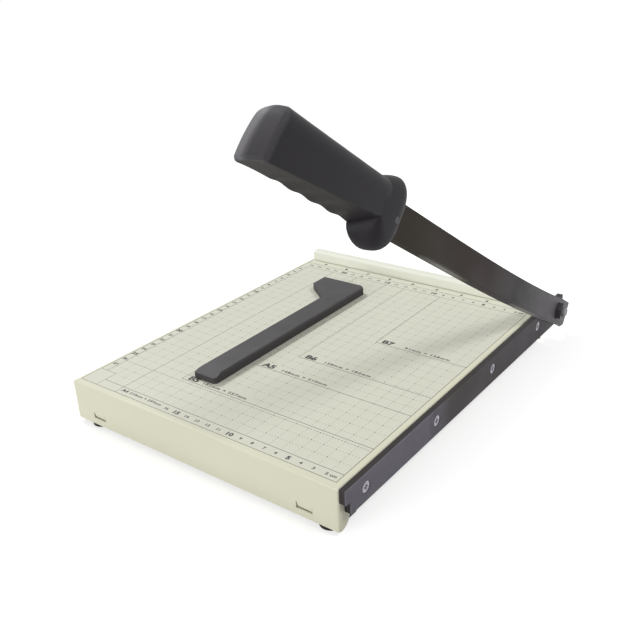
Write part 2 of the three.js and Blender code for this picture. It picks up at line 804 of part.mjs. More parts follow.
const endSection = handleSection(handleEnd);
const endCrown = THREE.MathUtils.lerp(armInner, armInner + endSection.width, crownShare);
const endMiddle = (endSection.top + endSection.bottom) / 2;

// How far behind the handle's very end its end face lies, at a point of the section: the face
// leans and bows, falls away from an upright ridge to both sides, and is rounded at its top and bottom.
function endDrop(x, z) {
  const across = x - endCrown;
  const fall = across < 0
    ? -handleEndInnerDrop * across / (endCrown - armInner)
    : handleEndOuterDrop * across / (armInner + endSection.width - endCrown);
  const topDrop = cornerDrop(z - endSection.top + handleEndTopRadius, handleEndTopRadius);
  const footDrop = cornerDrop(endSection.bottom + handleEndFootRadius - z, handleEndFootRadius);
  const bow = handleEndBow * ((z - endMiddle) / (endSection.top - endMiddle)) ** 2;
  return handleEndLean * z + fall + bow + topDrop + footDrop;
}

// One ring of the handle. It leans as the guard's face does, and more and more as the end face.
function handleRing(along, drawX, drawZ, endShare) {
  return handleOutline(along, drawX, drawZ).map((point) => {
    const drop = THREE.MathUtils.lerp(guardLean * point.y, endDrop(point.x, point.y), endShare);
    return new THREE.Vector3(point.x, drop - along, point.y);
  });
}

// A ring on the end face, drawn in towards the middle of the section
function endRing(share, back) {
  return handleOutline(handleEnd, 0, 0).map((point) => {
    const x = THREE.MathUtils.lerp(endCrown, point.x, share);
    const z = THREE.MathUtils.lerp(endMiddle, point.y, share);
    return new THREE.Vector3(x, endDrop(x, z) + back - handleEnd, z);
  });
}

const faceSteps = 5;
const lobeSteps = 10;
const gripSteps = 30;
const edgeSteps = 3;
const endShares = [0.75, 0.5, 0.25, 0.05];

function handleRings() {
  const first = handleStart + guardFaceRadius;
  const last = handleEnd - handleEndEdge;
  const lobeStart = Math.asin((first - lobePlace) / guardLobeReach);
  const lobeAngles = spread(lobeSteps, lobeStart, Math.PI / 2).slice(1);
  const stations = lobeAngles.map((angle) => lobePlace + guardLobeReach * Math.sin(angle));
  stations.push(...spread(gripSteps, lobeEnd, last).slice(1));
  const rings = [];
  spread(faceSteps + 1, 0, Math.PI / 2).forEach((angle) => {
    const along = handleStart + guardFaceRadius * (1 - Math.cos(angle));
    const draw = 1 - Math.sin(angle);
    rings.push(handleRing(along, guardSideRadius * draw, guardFaceRadius * draw, 0));
  });
  stations.forEach((along) => {
    rings.push(handleRing(along, 0, 0, ((along - first) / (last - first)) ** 3));
  });
  spread(edgeSteps + 1, 0, Math.PI / 2).slice(1).forEach((angle) => {
    const inset = 2 * handleEndEdge / gripWidth * (1 - Math.cos(angle));
    rings.push(endRing(1 - inset, handleEndEdge * (1 - Math.sin(angle))));
  });
  endShares.forEach((share) => rings.push(endRing(share, 0)));
  return rings;
}

function buildHandle() {
  let handle = toSolid(loft(handleRings()));
  const inner = armInner - cutOverrun;
  const outer = armOuter + seatGap;
  handle = handle.subtract(block(
    [inner, outer],
    [-tangEnd - seatGap, -handleStart + cutOverrun],
    [bladeLift - tangWidth / 2 - seatGap, bladeLift + tangWidth / 2 + seatGap]));
  handle = handle.subtract(block(
    [inner, outer],
    [-bladeReach - seatGap, -handleStart + guardFaceRadius],
    [bladeLift - bladeNeckWidth / 2 - seatGap, bladeLift + bladeNeckWidth / 2 + seatGap]));
  const screwEnds = tangScrewEnds();
  tangScrewRow.forEach((along, index) => {
    const end = screwEnds[index] + (index === 0 ? cutOverrun : holeClearance);
    const hole = barX(smallShank / 2 + holeClearance, [inner, end], -along, tangScrewLevel);
    handle = handle.subtract(hole);
  });
  addPart('handle', toGeometry(handle), blackPlastic, armGroup);
}

// The first screw goes right through the guard and ends level with its outer face.
function tangScrewEnds() {
  const outerFace = armInner + handleSection(tangScrewRow[0]).width;
  return [outerFace, armOuter + tangScrewBite];
}

function buildTangScrews() {
  const ends = tangScrewEnds();
  tangScrewRow.forEach((along, index) => {
    const screw = uprightScrew(0, 0, 0, ends[index] - armInner + seatGap);
    const turned = screw.rotate([0, 90, 0]).translate([armInner - seatGap, -along, tangScrewLevel]);
    addPart(`tang_screw_${index + 1}`, toGeometry(turned), brightZinc, armGroup);
  });
}

// Stop gauge, lying on the bed: a long bar with a head turned towards the left

function gaugeOutline() {
  return [
    [-gaugeHeadWidth, 0],
    [-gaugeHeadWidth, -gaugeHeadEdge],
    [-gaugeWidth, -gaugeHeadEdge - gaugeHeadSlope],
    [-gaugeWidth, -gaugeLength],
    [-gaugeNoseWidth, -gaugeLength],
    [0, -gaugeLength + gaugeNoseLength],
    [0, -gaugeBackChamfer],
    [-gaugeBackChamfer, 0],
  ].map(([x, y]) => new THREE.Vector2(x, y));
}

// The outline with each edge moved inwards; its points run anticlockwise.
function moveInwards(points, distance) {
  return points.map((point, index) => {
    const before = points[(index + points.length - 1) % points.length];
    const after = points[(index + 1) % points.length];
    const a = point.clone().sub(before).normalize();
    const b = after.clone().sub(point).normalize();
    const inward = new THREE.Vector2(-a.y - b.y, a.x + b.x);
    return point.clone().addScaledVector(inward, distance / (1 + a.dot(b)));
  });
}

// A closed skin over stacked outlines, anticlockwise and alike, with their flat shape at both ends.
function stack(outlines, levels) {
  const sides = outlines[0].length;
  const positions = outlines.flatMap((outline, ring) => (
    outline.flatMap((point) => [point.x, point.y, levels[ring]])));
  const last = (outlines.length - 1) * sides;
  const indices = [];
  for (let ring = 0; ring < last; ring += sides) {
    for (let side = 0; side < sides; side += 1) {
      const a = ring + side;
      const b = ring + (side + 1) % sides;
      indices.push(a, b, b + sides, a, b + sides, a + sides);
    }
  }
  THREE.ShapeUtils.triangulateShape(outlines[0], []).forEach(([a, b, c]) => {
    indices.push(a, c, b, last + a, last + b, last + c);
  });
  const geometry = new THREE.BufferGeometry();
  geometry.setAttribute('position', new THREE.Float32BufferAttribute(positions, 3));
  geometry.setIndex(indices);
  return geometry;
}

// The wedge that is missing from the top of the gauge's front end
function frontSlopeCutter() {
  const front = -gaugeLength;
  const rise = (gaugeHeight - gaugeFrontHeight) / gaugeFrontSlope;
  const ring = (x) => [
    [front - cutOverrun, gaugeFrontHeight - rise * cutOverrun],
    [front + gaugeFrontSlope + cutOverrun, gaugeHeight + rise * cutOverrun],
    [front - cutOverrun, gaugeHeight + rise * cutOverrun],
  ].map(([y, z]) => new THREE.Vector3(x, y, z));
  return toSolid(loft([ring(-gaugeWidth - cutOverrun), ring(cutOverrun)]));
}

function buildGauge() {
  const foot = gaugeOutline();
  const levels = [0, gaugeHeight - gaugeBevel, gaugeHeight];
  let gauge = toSolid(stack([foot, foot, moveInwards(foot, gaugeBevel)], levels));
  gauge = gauge.subtract(frontSlopeCutter());
  const magnetRow = spread(magnetCount, -magnetInset, -gaugeLength + magnetInset);
  magnetRow.forEach((y, index) => {
    const x = -gaugeWidth / 2;
    const pocket = [-cutOverrun, magnetHeight + seatGap];
    gauge = gauge.subtract(barZ(magnetDiameter / 2 + holeClearance, x, y, pocket));
    const magnet = barZ(magnetDiameter / 2, x, y, [0, magnetHeight]);
    addPart(`gauge_magnet_${index + 1}`, toGeometry(magnet), magnetNickel, gaugeGroup);
  });
  addPart('stop_gauge', toGeometry(gauge), gaugePlastic, gaugeGroup);
}

buildBasePan();
buildFence();
buildFenceScrews();
buildFootRails();
buildFeet();
buildFixedBlade();
buildBladeScrews();
buildPivot();
buildSpring();
buildCuttingArm();
buildHandle();
buildTangScrews();
buildGauge();

armGroup.position.set(0, pivotBehindFenceFace, -pivotDrop);
armGroup.rotation.x = -armRestAngle;
gaugeGroup.position.set(-gaugeFromBlade, -gaugeFromFence, seatGap);
cutter.add(armGroup, gaugeGroup);

// The origin goes to the middle of the footprint, at the level of the soles.
cutter.updateMatrixWorld(true);
const extent = new THREE.Box3().setFromObject(cutter, true);
const footprint = extent.getCenter(new THREE.Vector3());
cutter.position.set(-footprint.x, -footprint.y, -extent.min.z);
cutter.updateMatrixWorld(true);

export default cutter;
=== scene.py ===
import math

import bpy
import numpy as np
from mathutils import Matrix, Vector


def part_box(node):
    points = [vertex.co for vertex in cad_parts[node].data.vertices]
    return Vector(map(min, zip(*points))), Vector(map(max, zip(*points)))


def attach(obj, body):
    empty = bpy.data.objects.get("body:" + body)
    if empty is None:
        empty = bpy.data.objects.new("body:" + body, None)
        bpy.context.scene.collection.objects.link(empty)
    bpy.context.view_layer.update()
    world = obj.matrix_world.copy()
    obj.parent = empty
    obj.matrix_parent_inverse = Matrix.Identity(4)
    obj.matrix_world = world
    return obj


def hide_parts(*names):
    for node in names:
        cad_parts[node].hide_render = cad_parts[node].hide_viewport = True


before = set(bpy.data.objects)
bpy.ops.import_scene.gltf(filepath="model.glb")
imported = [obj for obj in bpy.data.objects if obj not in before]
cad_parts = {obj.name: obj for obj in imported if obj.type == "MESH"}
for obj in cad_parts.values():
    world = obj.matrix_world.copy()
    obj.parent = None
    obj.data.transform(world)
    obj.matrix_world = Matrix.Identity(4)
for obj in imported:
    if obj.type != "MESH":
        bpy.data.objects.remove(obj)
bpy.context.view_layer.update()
print("frame loaded:", len(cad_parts), "nodes")

mm = 0.001

# The datum of every place below: the cutting plane, the fence's front face and the bed's top
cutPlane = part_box("fixed_blade")[1].x
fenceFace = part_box("fence_rail")[0].y
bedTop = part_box("base_pan")[1].z


# From millimetres on the bed, counted from the datum, to metres in the frame
def fromDatum(points):
    return np.asarray(points, float) * mm + np.array([cutPlane, fenceFace, bedTop])


# The arm's own frame at rest: the pivot is the origin, -Y runs along the arm and Z across its width
armRest = {"pivot": (0, 23, -7.5), "angle": math.radians(30)}


def fromArm(points):
    points = np.asarray(points, float)
    cos, sin = math.cos(armRest["angle"]), math.sin(armRest["angle"])
    x, y, z = points[..., 0], points[..., 1], points[..., 2]
    turned = np.stack([x, y * cos + z * sin, z * cos - y * sin], -1)
    return fromDatum(turned + np.array(armRest["pivot"]))


def addObject(name, data):
    piece = bpy.data.objects.new(name, data)
    bpy.context.collection.objects.link(piece)
    return piece


# Camera

photoCamera = {
    "place": (219.28, -610.69, 287.86),
    "right": (0.80670, 0.58984, -0.03646),
    "forward": (-0.54784, 0.72327, -0.42041),
    "focalPixels": 790.1,
    "middle": (320.8, 319.4),
    "pictureSide": 640,
    "sensor": 36,
    "nearest": 0.02, "farthest": 20,   # metres
}


def addCamera():
    p = photoCamera
    cameraData = bpy.data.cameras.new("photo_camera")
    cameraData.sensor_width = p["sensor"]
    cameraData.lens = p["focalPixels"] / p["pictureSide"] * p["sensor"]
    half = p["pictureSide"] / 2
    cameraData.shift_x = (half - p["middle"][0]) / p["pictureSide"]
    cameraData.shift_y = (p["middle"][1] - half) / p["pictureSide"]
    cameraData.clip_start, cameraData.clip_end = p["nearest"], p["farthest"]
    camera = addObject("photo_camera", cameraData)
    right = Vector(p["right"]).normalized()
    forward = Vector(p["forward"]).normalized()
    up = right.cross(forward).normalized()
    turn = Matrix((right, up, -forward)).transposed().to_4x4()
    camera.matrix_world = Matrix.Translation(Vector(fromDatum(p["place"]))) @ turn
    bpy.context.scene.camera = camera


addCamera()
print("camera placed")


# Mesh helpers

# A mesh object from arrays of points (metres) and faces
def addMesh(name, points, faces):
    mesh = bpy.data.meshes.new(name)
    mesh.from_pydata(np.asarray(points).tolist(), [], [list(map(int, face)) for face in faces])
    mesh.validate()
    mesh.update()
    return addObject(name, mesh)


# A closed skin over an array of rings (rings, around, 3): quads between neighbouring points, closed
# round each ring, and a flat face at each end
def addLoft(name, rings):
    count, around = rings.shape[:2]
    ring, side = np.meshgrid(np.arange(count - 1), np.arange(around), indexing="ij")
    a, b = ring * around + side, ring * around + (side + 1) % around
    faces = np.stack([a, b, b + around, a + around], axis=-1).reshape(-1, 4).tolist()
    faces.append(list(range(around))[::-1])
    faces.append([(count - 1) * around + side for side in range(around)])
    return addMesh(name, rings.reshape(-1, 3), faces)


# Node helpers

# Gives each input of a node, by name or number, a plain value or another node's output
def feed(tree, node, inputs):
    for key, value in inputs.items():
        if isinstance(value, (int, float, tuple)):
            node.inputs[key].default_value = value
        elif value is not None:
            tree.links.new(value, node.inputs[key])


# Adds a node and gives its outputs. Its settings come first, since they decide which inputs it has.
def addNode(tree, kind, inputs=None, **settings):
    node = tree.nodes.new(kind)
    for label, value in settings.items():
        setattr(node, label, value)
    feed(tree, node, inputs or {})
    return node.outputs


def addMath(tree, operation, first, second=None, clamp=False):
    inputs = {0: first, 1: second}
    return addNode(tree, "ShaderNodeMath", inputs, operation=operation, use_clamp=clamp)[0]


def plus(tree, total, *others):
    for other in others:
        total = addMath(tree, "ADD", total, other)
    return total


def times(tree, total, *others):
    for other in others:
        total = addMath(tree, "MULTIPLY", total, other)
    return total


def minus(tree, first, second):
    return addMath(tree, "SUBTRACT", first, second)


def addNoise(tree, place, scale, detail, roughness=0.5):
    inputs = {"Vector": place, "Scale": scale, "Detail": detail, "Roughness": roughness}
    return addNode(tree, "ShaderNodeTexNoise", inputs)["Fac"]


def addRange(tree, value, fromLow, fromHigh, toLow=0, toHigh=1):
    inputs = {"Value": value, "From Min": fromLow, "From Max": fromHigh, "To Min": toLow, "To Max": toHigh}
    return addNode(tree, "ShaderNodeMapRange", inputs)["Result"]


def addMix(tree, share, first, second, blend="MIX"):
    inputs = {0: share, 6: first, 7: second}   # the colour sockets
    return addNode(tree, "ShaderNodeMix", inputs, data_type="RGBA", blend_type=blend)[2]


# A colour that runs through several stops (share, colour) as the value goes from 0 to 1
def addRamp(tree, value, stops):
    ramp = tree.nodes.new("ShaderNodeValToRGB")
    tree.links.new(value, ramp.inputs["Fac"])
    elements = ramp.color_ramp.elements
    elements[0].position, elements[0].color = stops[0]
    elements[1].position, elements[1].color = stops[-1]
    for share, colour in stops[1:-1]:
        elements.new(share).color = colour
    return ramp.outputs["Color"]


def addVector(tree, operation, first, second=None):
    return addNode(tree, "ShaderNodeVectorMath", {0: first, 1: second}, operation=operation)


def splitParts(tree, vector):
    return addNode(tree, "ShaderNodeSeparateXYZ", {0: vector})


def objectPlace(tree):
    return addNode(tree, "ShaderNodeTexCoord")["Object"]


# Noise over the object, with one range of its values turned into another
def addPatches(tree, noise, span):
    return addRange(tree, addNoise(tree, objectPlace(tree), *noise), *span)


# Soft shading: joins the loose triangles and shades smoothly across every edge under the angle
shading = {"join": 2e-6, "angle": math.radians(32)}


def makeSmoothShade():
    tree = bpy.data.node_groups.new("smooth_shade", "GeometryNodeTree")
    for way in ("INPUT", "OUTPUT"):
        tree.interface.new_socket("Geometry", in_out=way, socket_type="NodeSocketGeometry")
    start = addNode(tree, "NodeGroupInput")[0]
    join = {"Geometry": start, "Distance": shading["join"]}
    soft = {"Geometry": addNode(tree, "GeometryNodeMergeByDistance", join)[0]}
    sharp = {"A": addNode(tree, "GeometryNodeInputMeshEdgeAngle")["Unsigned Angle"], "B": shading["angle"]}
    over = addNode(tree, "FunctionNodeCompare", sharp, data_type="FLOAT", operation="GREATER_THAN")
    crisp = {
        "Geometry": addNode(tree, "GeometryNodeSetShadeSmooth", soft)[0], "Selection": over["Result"],
        "Shade Smooth": False,
    }
    shaded = addNode(tree, "GeometryNodeSetShadeSmooth", crisp, domain="EDGE")[0]
    addNode(tree, "NodeGroupOutput", {0: shaded})
    return tree


smoothShade = makeSmoothShade()


def shadeSoftly(piece):
    modifier = piece.modifiers.new("smooth_shade", "NODES")
    modifier.node_group = smoothShade


# A linear colour from red, green and blue out of 255
def srgb(red, green, blue):
    shares = np.array([red, green, blue]) / 255
    linear = np.where(shares <= 0.04045, shares / 12.92, ((shares + 0.055) / 1.055) ** 2.4)
    return tuple(float(value) for value in linear) + (1,)


# Shader groups, used by more than one finish. A noise is (scale, detail, roughness). A span turns one
# range of values into another: (from low, from high, to low, to high), or into 0 to 1 if it names only
# the first two. The wear's width and the relief's height are in metres.

# An empty group with named colour and number inputs, a colour output and further number outputs
def newGroup(name, colours, numbers, measures=()):
    tree = bpy.data.node_groups.new(name, "ShaderNodeTree")
    sockets = [(label, "INPUT", "NodeSocketColor") for label in colours]
    sockets += [(label, "INPUT", "NodeSocketFloat") for label in numbers]
    sockets += [("Colour", "OUTPUT", "NodeSocketColor")]
    sockets += [(label, "OUTPUT", "NodeSocketFloat") for label in measures]
    for label, way, kind in sockets:
        tree.interface.new_socket(label, in_out=way, socket_type=kind)
    return tree, addNode(tree, "NodeGroupInput")


# Baked enamel: a fine orange peel, faint clouds of tone and a few specks of dust under the paint
enamelLook = {
    "peel": (900, 2, 0.4), "waves": (260, 1, 0.4), "waveHeight": 1.6, "clouds": (14, 4, 0.6),
    "glossSpan": (0.3, 0.7, -0.04, 0.05), "specks": (1500, 0), "speckSpan": (0.80, 0.86),
    "speckShare": 0.25, "speckColour": (0.33, 0.3, 0.24, 1), "relief": (0.00004, 0.35), "wearWidth": 0.0008,
    "cloud": 0.05, "gloss": 0.42, "shine": 0.2, "bare": srgb(196, 192, 172), "wearAndHighlight": 0.35, "dusting": 0.05,
}


def makeEnamel():
    p = enamelLook
    tree, given = newGroup("enamel", ["Colour"], ["Cloud", "Gloss"], ["Roughness", "Height"])
    place = objectPlace(tree)
    clouds = addNoise(tree, place, *p["clouds"])
    specks = addPatches(tree, p["specks"], p["speckSpan"])
    shade = plus(tree, times(tree, minus(tree, clouds, 0.5), given["Cloud"]), 1)
    tone = addNode(tree, "ShaderNodeCombineColor", {0: shade, 1: shade, 2: shade})[0]
    tinted = addMix(tree, 1.0, given["Colour"], tone, "MULTIPLY")
    speckled = addMix(tree, times(tree, specks, p["speckShare"]), tinted, p["speckColour"])
    rough = plus(tree, given["Gloss"], addRange(tree, clouds, *p["glossSpan"]))
    waves = times(tree, addNoise(tree, place, *p["waves"]), p["waveHeight"])
    height = plus(tree, addNoise(tree, place, *p["peel"]), waves)
    addNode(tree, "NodeGroupOutput", {"Colour": speckled, "Roughness": rough, "Height": height})
    return tree


# Moulded plastic: a fine spark-eroded grain with faint flow clouds
grainLook = {
    "grain": (3, 0.7), "pale": (0.5, 0.5, 0.5, 1), "paleShare": 0.5, "clouds": (22, 3, 0.6),
    "cloudSpan": (0.35, 0.75, 0, 0.5), "poreSpan": (0.25, 0.55, 0.28, 0), "pores": (0.01, 0.01, 0.01, 1),
    "glossSpan": (0.2, 0.8, -0.08, 0.1), "coarse": (420, 2, 0.5), "coarseHeight": 0.7,
    "wearAndHighlight": 0.5, "wearWidth": 0.0009, "relief": (0.00005, 0.5),
}


def makeMouldGrain():
    p = grainLook
    tree, given = newGroup("mould_grain", ["Colour"], ["Scale", "Gloss"], ["Roughness", "Height"])
    place = objectPlace(tree)
    grain = addNoise(tree, place, given["Scale"], *p["grain"])
    clouds = addPatches(tree, p["clouds"], p["cloudSpan"])
    lighter = addMix(tree, p["paleShare"], given["Colour"], p["pale"], "SOFT_LIGHT")
    wearAndHighlight = addMix(tree, clouds, given["Colour"], lighter)
    pores = addMix(tree, addRange(tree, grain, *p["poreSpan"]), wearAndHighlight, p["pores"])
    rough = plus(tree, given["Gloss"], addRange(tree, grain, *p["glossSpan"]))
    coarse = times(tree, addNoise(tree, place, *p["coarse"]), p["coarseHeight"])
    height = plus(tree, grain, coarse)
    addNode(tree, "NodeGroupOutput", {"Colour": pores, "Roughness": rough, "Height": height})
    return tree


# Plated or blackened steel: mottled tone and fine streaks along the way the bar was drawn
steelLook = {
    "stretch": (1, 0.03, 1), "streaks": (3800, 3, 0.65), "streakSpan": (0.5, 0.75), "streakShare": 0.35,
    "mottle": (160, 4, 0.65), "mottleSpan": (0.42, 0.68), "dark": (0.62, 0.62, 0.64, 1),
    "broad": (18, 3, 0.5), "glossSpan": (0.3, 0.7, -0.05, 0.08), "relief": (0.00003, 0.3),
    "wearWidth": 0.0005,
}


def makeSteelSkin():
    p = steelLook
    numbers = ["Mottle", "Gloss", "Streaks"]
    tree, given = newGroup("steel_skin", ["Colour"], numbers, ["Roughness", "Height"])
    place = objectPlace(tree)
    drawn = addNode(tree, "ShaderNodeMapping", {"Vector": place, "Scale": p["stretch"]})["Vector"]
    streaks = addNoise(tree, drawn, *p["streaks"])
    mottle = addNoise(tree, place, *p["mottle"])
    dark = addMix(tree, 1.0, given["Colour"], p["dark"], "MULTIPLY")
    spots = times(tree, addRange(tree, mottle, *p["mottleSpan"]), given["Mottle"])
    spotted = addMix(tree, spots, given["Colour"], dark)
    lines = times(tree, addRange(tree, streaks, *p["streakSpan"]), given["Streaks"], p["streakShare"])
    rough = plus(tree, given["Gloss"], addPatches(tree, p["broad"], p["glossSpan"]))
    height = plus(tree, times(tree, streaks, given["Streaks"]), mottle)
    lined = addMix(tree, lines, spotted, dark)
    addNode(tree, "NodeGroupOutput", {"Colour": lined, "Roughness": rough, "Height": height})
    return tree


# Wear on edges: where the rounded normal leaves the true one, broken up by noise
wearLook = {"samples": 6, "edgeSpan": (0.985, 0.82), "patches": (240, 4, 0.7), "patchSpan": (0.36, 0.62)}


def makeEdgeWear():
    p = wearLook
    tree, given = newGroup("edge_wear", ["Colour", "Bare"], ["Amount", "Radius"])
    rounded = addNode(tree, "ShaderNodeBevel", {"Radius": given["Radius"]}, samples=p["samples"])["Normal"]
    true = addNode(tree, "ShaderNodeNewGeometry")["True Normal"]
    edge = addRange(tree, addVector(tree, "DOT_PRODUCT", rounded, true)["Value"], *p["edgeSpan"])
    broken = addPatches(tree, p["patches"], p["patchSpan"])
    mask = addMath(tree, "MULTIPLY", times(tree, edge, broken), given["Amount"], clamp=True)
    addNode(tree, "NodeGroupOutput", {"Colour": addMix(tree, mask, given["Colour"], given["Bare"])})
    return tree


# Dust: a pale film that gathers on faces that look up
dustLook = {
    "upSpan": (0.2, 0.95), "patches": (45, 5, 0.7), "patchSpan": (0.35, 0.75), "colour": (0.55, 0.54, 0.5, 1),
}


def makeDust():
    p = dustLook
    tree, given = newGroup("dust", ["Colour"], ["Amount"])
    normal = addNode(tree, "ShaderNodeNewGeometry")["Normal"]
    up = addRange(tree, splitParts(tree, normal)["Z"], *p["upSpan"])
    patches = addPatches(tree, p["patches"], p["patchSpan"])
    mask = addMath(tree, "MULTIPLY", times(tree, up, patches), given["Amount"], clamp=True)
    addNode(tree, "NodeGroupOutput", {"Colour": addMix(tree, mask, given["Colour"], p["colour"])})
    return tree


enamel, mouldGrain, steelSkin = makeEnamel(), makeMouldGrain(), makeSteelSkin()
edgeWear, dust = makeEdgeWear(), makeDust()


# Materials

def newMaterial(name):
    material = bpy.data.materials.new(name)
    material.use_nodes = True
    tree = material.node_tree
    return material, tree, tree.nodes["Principled BSDF"]


def placeGroup(tree, group, **values):
    return addNode(tree, "ShaderNodeGroup", values, node_tree=group)


# A finish: a skin group's colour, worn bare on the edges and dusted, with its roughness and relief
# (height, strength). A colour can also be a function that works it out in the material's tree.
def makeFinish(name, group, look, values, bare, wearAndHighlight, dusting=0, shine=0.5, metal=0):
    material, tree, shader = newMaterial(name)
    if callable(values["Colour"]):
        values = {**values, "Colour": values["Colour"](tree)}
    skin = placeGroup(tree, group, **values)
    seen = placeGroup(tree, edgeWear, Colour=skin["Colour"], Bare=bare, Amount=wearAndHighlight, Radius=look["wearWidth"])
    if dusting:
        seen = placeGroup(tree, dust, Colour=seen["Colour"], Amount=dusting)
    height, strength = look["relief"]
    raised = {"Height": skin["Height"], "Distance": height, "Strength": strength}
    feed(tree, shader, {
        "Base Color": seen["Colour"], "Roughness": skin["Roughness"], "Metallic": metal,
        "Specular IOR Level": shine, "Normal": addNode(tree, "ShaderNodeBump", raised)["Normal"],
    })
    return material


def makeCream(name, colour):
    p = enamelLook
    values = {"Colour": colour, "Cloud": p["cloud"], "Gloss": p["gloss"]}
    return makeFinish(name, enamel, p, values, p["bare"], p["wearAndHighlight"], p["dusting"], p["shine"])


def makePlastic(name, colour, gloss, scale, bare, dusting, shine=0.25):
    p = grainLook
    values = {"Colour": colour, "Scale": scale, "Gloss": gloss}
    return makeFinish(name, mouldGrain, p, values, bare, p["wearAndHighlight"], dusting, shine)


def makeSteel(name, colour, gloss, mottle, streaks, bare, wearAndHighlight, metal, shine=0.5):
    values = {"Colour": colour, "Mottle": mottle, "Gloss": gloss, "Streaks": streaks}
    return makeFinish(name, steelSkin, steelLook, values, bare, wearAndHighlight, 0, shine, metal)


# The bed's cream enamel: inside the printed border, on the top alone, the paint is a little greyer
printArea = {
    "left": -248.8, "right": -10.9, "rear": 0, "front": -298, "softEdge": 0.4, "topFrom": 0.4, "topTo": 0.2,
    "outside": srgb(228, 227, 204), "inside": srgb(224, 224, 208),
}


def bedTint(tree):
    p = printArea
    place = splitParts(tree, objectPlace(tree))
    low, high = fromDatum((p["left"], p["front"], 0)), fromDatum((p["right"], p["rear"], 0))
    soft = p["softEdge"] * mm
    sides = []
    for axis, a, b in (("X", low[0], high[0]), ("Y", low[1], high[1])):
        sides.append(addRange(tree, place[axis], a - soft, a + soft))
        sides.append(addRange(tree, place[axis], b + soft, b - soft))
    top = addRange(tree, place["Z"], bedTop - p["topFrom"] * mm, bedTop - p["topTo"] * mm)
    return addMix(tree, times(tree, *sides, top), p["outside"], p["inside"])


# Distance from the pivot along the arm, level across it and place from side to side, in metres
def armPlaces(tree):
    cos, sin = math.cos(armRest["angle"]), math.sin(armRest["angle"])
    moved = addVector(tree, "SUBTRACT", objectPlace(tree), tuple(fromDatum(armRest["pivot"])))[0]
    ways = ((0, -cos, sin), (0, sin, cos), (1, 0, 0))
    return [addVector(tree, "DOT_PRODUCT", moved, way)["Value"] for way in ways]


# The arm's oil-blackened steel: a painted reflection makes it light grey by the pivot, then it runs violet,
# brown and olive towards the handle. Painted reflections lighten its ground bevel and a thin line at its edge
# in two stretches, where a cosine of the distance along the arm is above zero. The lower edge's curve is the
# blade's own: half its width below a centre line that sags as a sine of a power of the distance from the
# pivot. The coat's places are shares of the blade's reach.
blade = {
    "reach": 341.5, "lift": 1.2, "belly": 3.2, "bellyShare": 0.39, "width": 23.3, "neckWidth": 22,
    "bevel": (3.1, 2.85), "line": (2.1, 1.7),   # where they fade, up from the edge
    # The coat's light grey stops by the pivot are a painted reflection
    "coat": [(0.06, srgb(110, 107, 111)), (0.25, srgb(82, 80, 81)), (0.34, srgb(36, 32, 37)),
             (0.5, srgb(43, 31, 29)), (0.86, srgb(40, 32, 20))],
    "clouds": (30, 3, 0.6), "cloudSpan": (0.3, 0.7, -0.03, 0.03),
    # The pale colour on the next line is painted reflection, laid on the bevel and edge line in stretches
    "bare": srgb(172, 169, 160), "bevelReflection": 0.14, "lineReflection": 0.6, "reflectionPitch": 0.46, "reflectionPlace": 0.25,
    "reflectionSpan": (0, 1, 0.06, 1),
}


def armTint(tree):
    p = blade
    distance, level = armPlaces(tree)[:2]
    share = addMath(tree, "DIVIDE", distance, p["reach"] * mm)
    power = math.log(0.5) / math.log(p["bellyShare"])
    along = addMath(tree, "MAXIMUM", share, 0.0)
    sag = addMath(tree, "SINE", times(tree, addMath(tree, "POWER", along, power), math.pi))
    rise = (p["lift"] + (p["width"] - p["neckWidth"]) / 2) * mm
    edge = minus(tree, times(tree, along, rise), times(tree, sag, p["belly"] * mm))
    above = minus(tree, level, minus(tree, edge, p["width"] / 2 * mm))
    ground = addRange(tree, above, p["bevel"][0] * mm, p["bevel"][1] * mm)
    line = addRange(tree, above, p["line"][0] * mm, p["line"][1] * mm)
    wavy = plus(tree, share, addPatches(tree, p["clouds"], p["cloudSpan"]))
    turn = times(tree, minus(tree, wavy, p["reflectionPlace"]), 2 * math.pi / p["reflectionPitch"])
    # Painted reflections: the bevel and edge line are lightened where this cosine is above zero
    reflectionStretch = addRange(tree, addMath(tree, "COSINE", turn), *p["reflectionSpan"])
    lit = plus(tree, times(tree, ground, p["bevelReflection"]), times(tree, line, p["lineReflection"]))
    return addMix(tree, times(tree, lit, reflectionStretch), addRamp(tree, wavy, p["coat"]), p["bare"])


# The fixed bar's black enamel: violet grey at the front of its outer face, browner and darker behind.
# In from the outer face, over its top, ends and inner face, a painted shade makes it nearly black: the
# shadowed gap beside the bed, and a top darker than the lamps leave it. The places are shares of the way
# from the bar's front to the fence.
bar = {
    "length": 300, "coat": [(0.31, srgb(101, 97, 108)), (0.42, srgb(54, 47, 48)), (0.85, srgb(43, 37, 43))],
    "clouds": (36, 4, 0.6), "cloudSpan": (0.3, 0.7, -0.035, 0.035),
    # The dark colour on the next line is painted shade, laid more than a millimetre in from the outer face
    "dark": srgb(36, 30, 30), "shadeFrom": 0.5, "shadeTo": 1.3,   # in from the outer face
}


def barTint(tree):
    p = bar
    place = splitParts(tree, objectPlace(tree))
    rearward = addRange(tree, place["Y"], fenceFace - p["length"] * mm, fenceFace)
    clouds = addPatches(tree, p["clouds"], p["cloudSpan"])
    # Painted shade: the top, ends and inner face turn nearly black in from the outer face
    inward = addRange(tree, place["X"], cutPlane - p["shadeFrom"] * mm, cutPlane - p["shadeTo"] * mm)
    return addMix(tree, inward, addRamp(tree, plus(tree, rearward, clouds), p["coat"]), p["dark"])
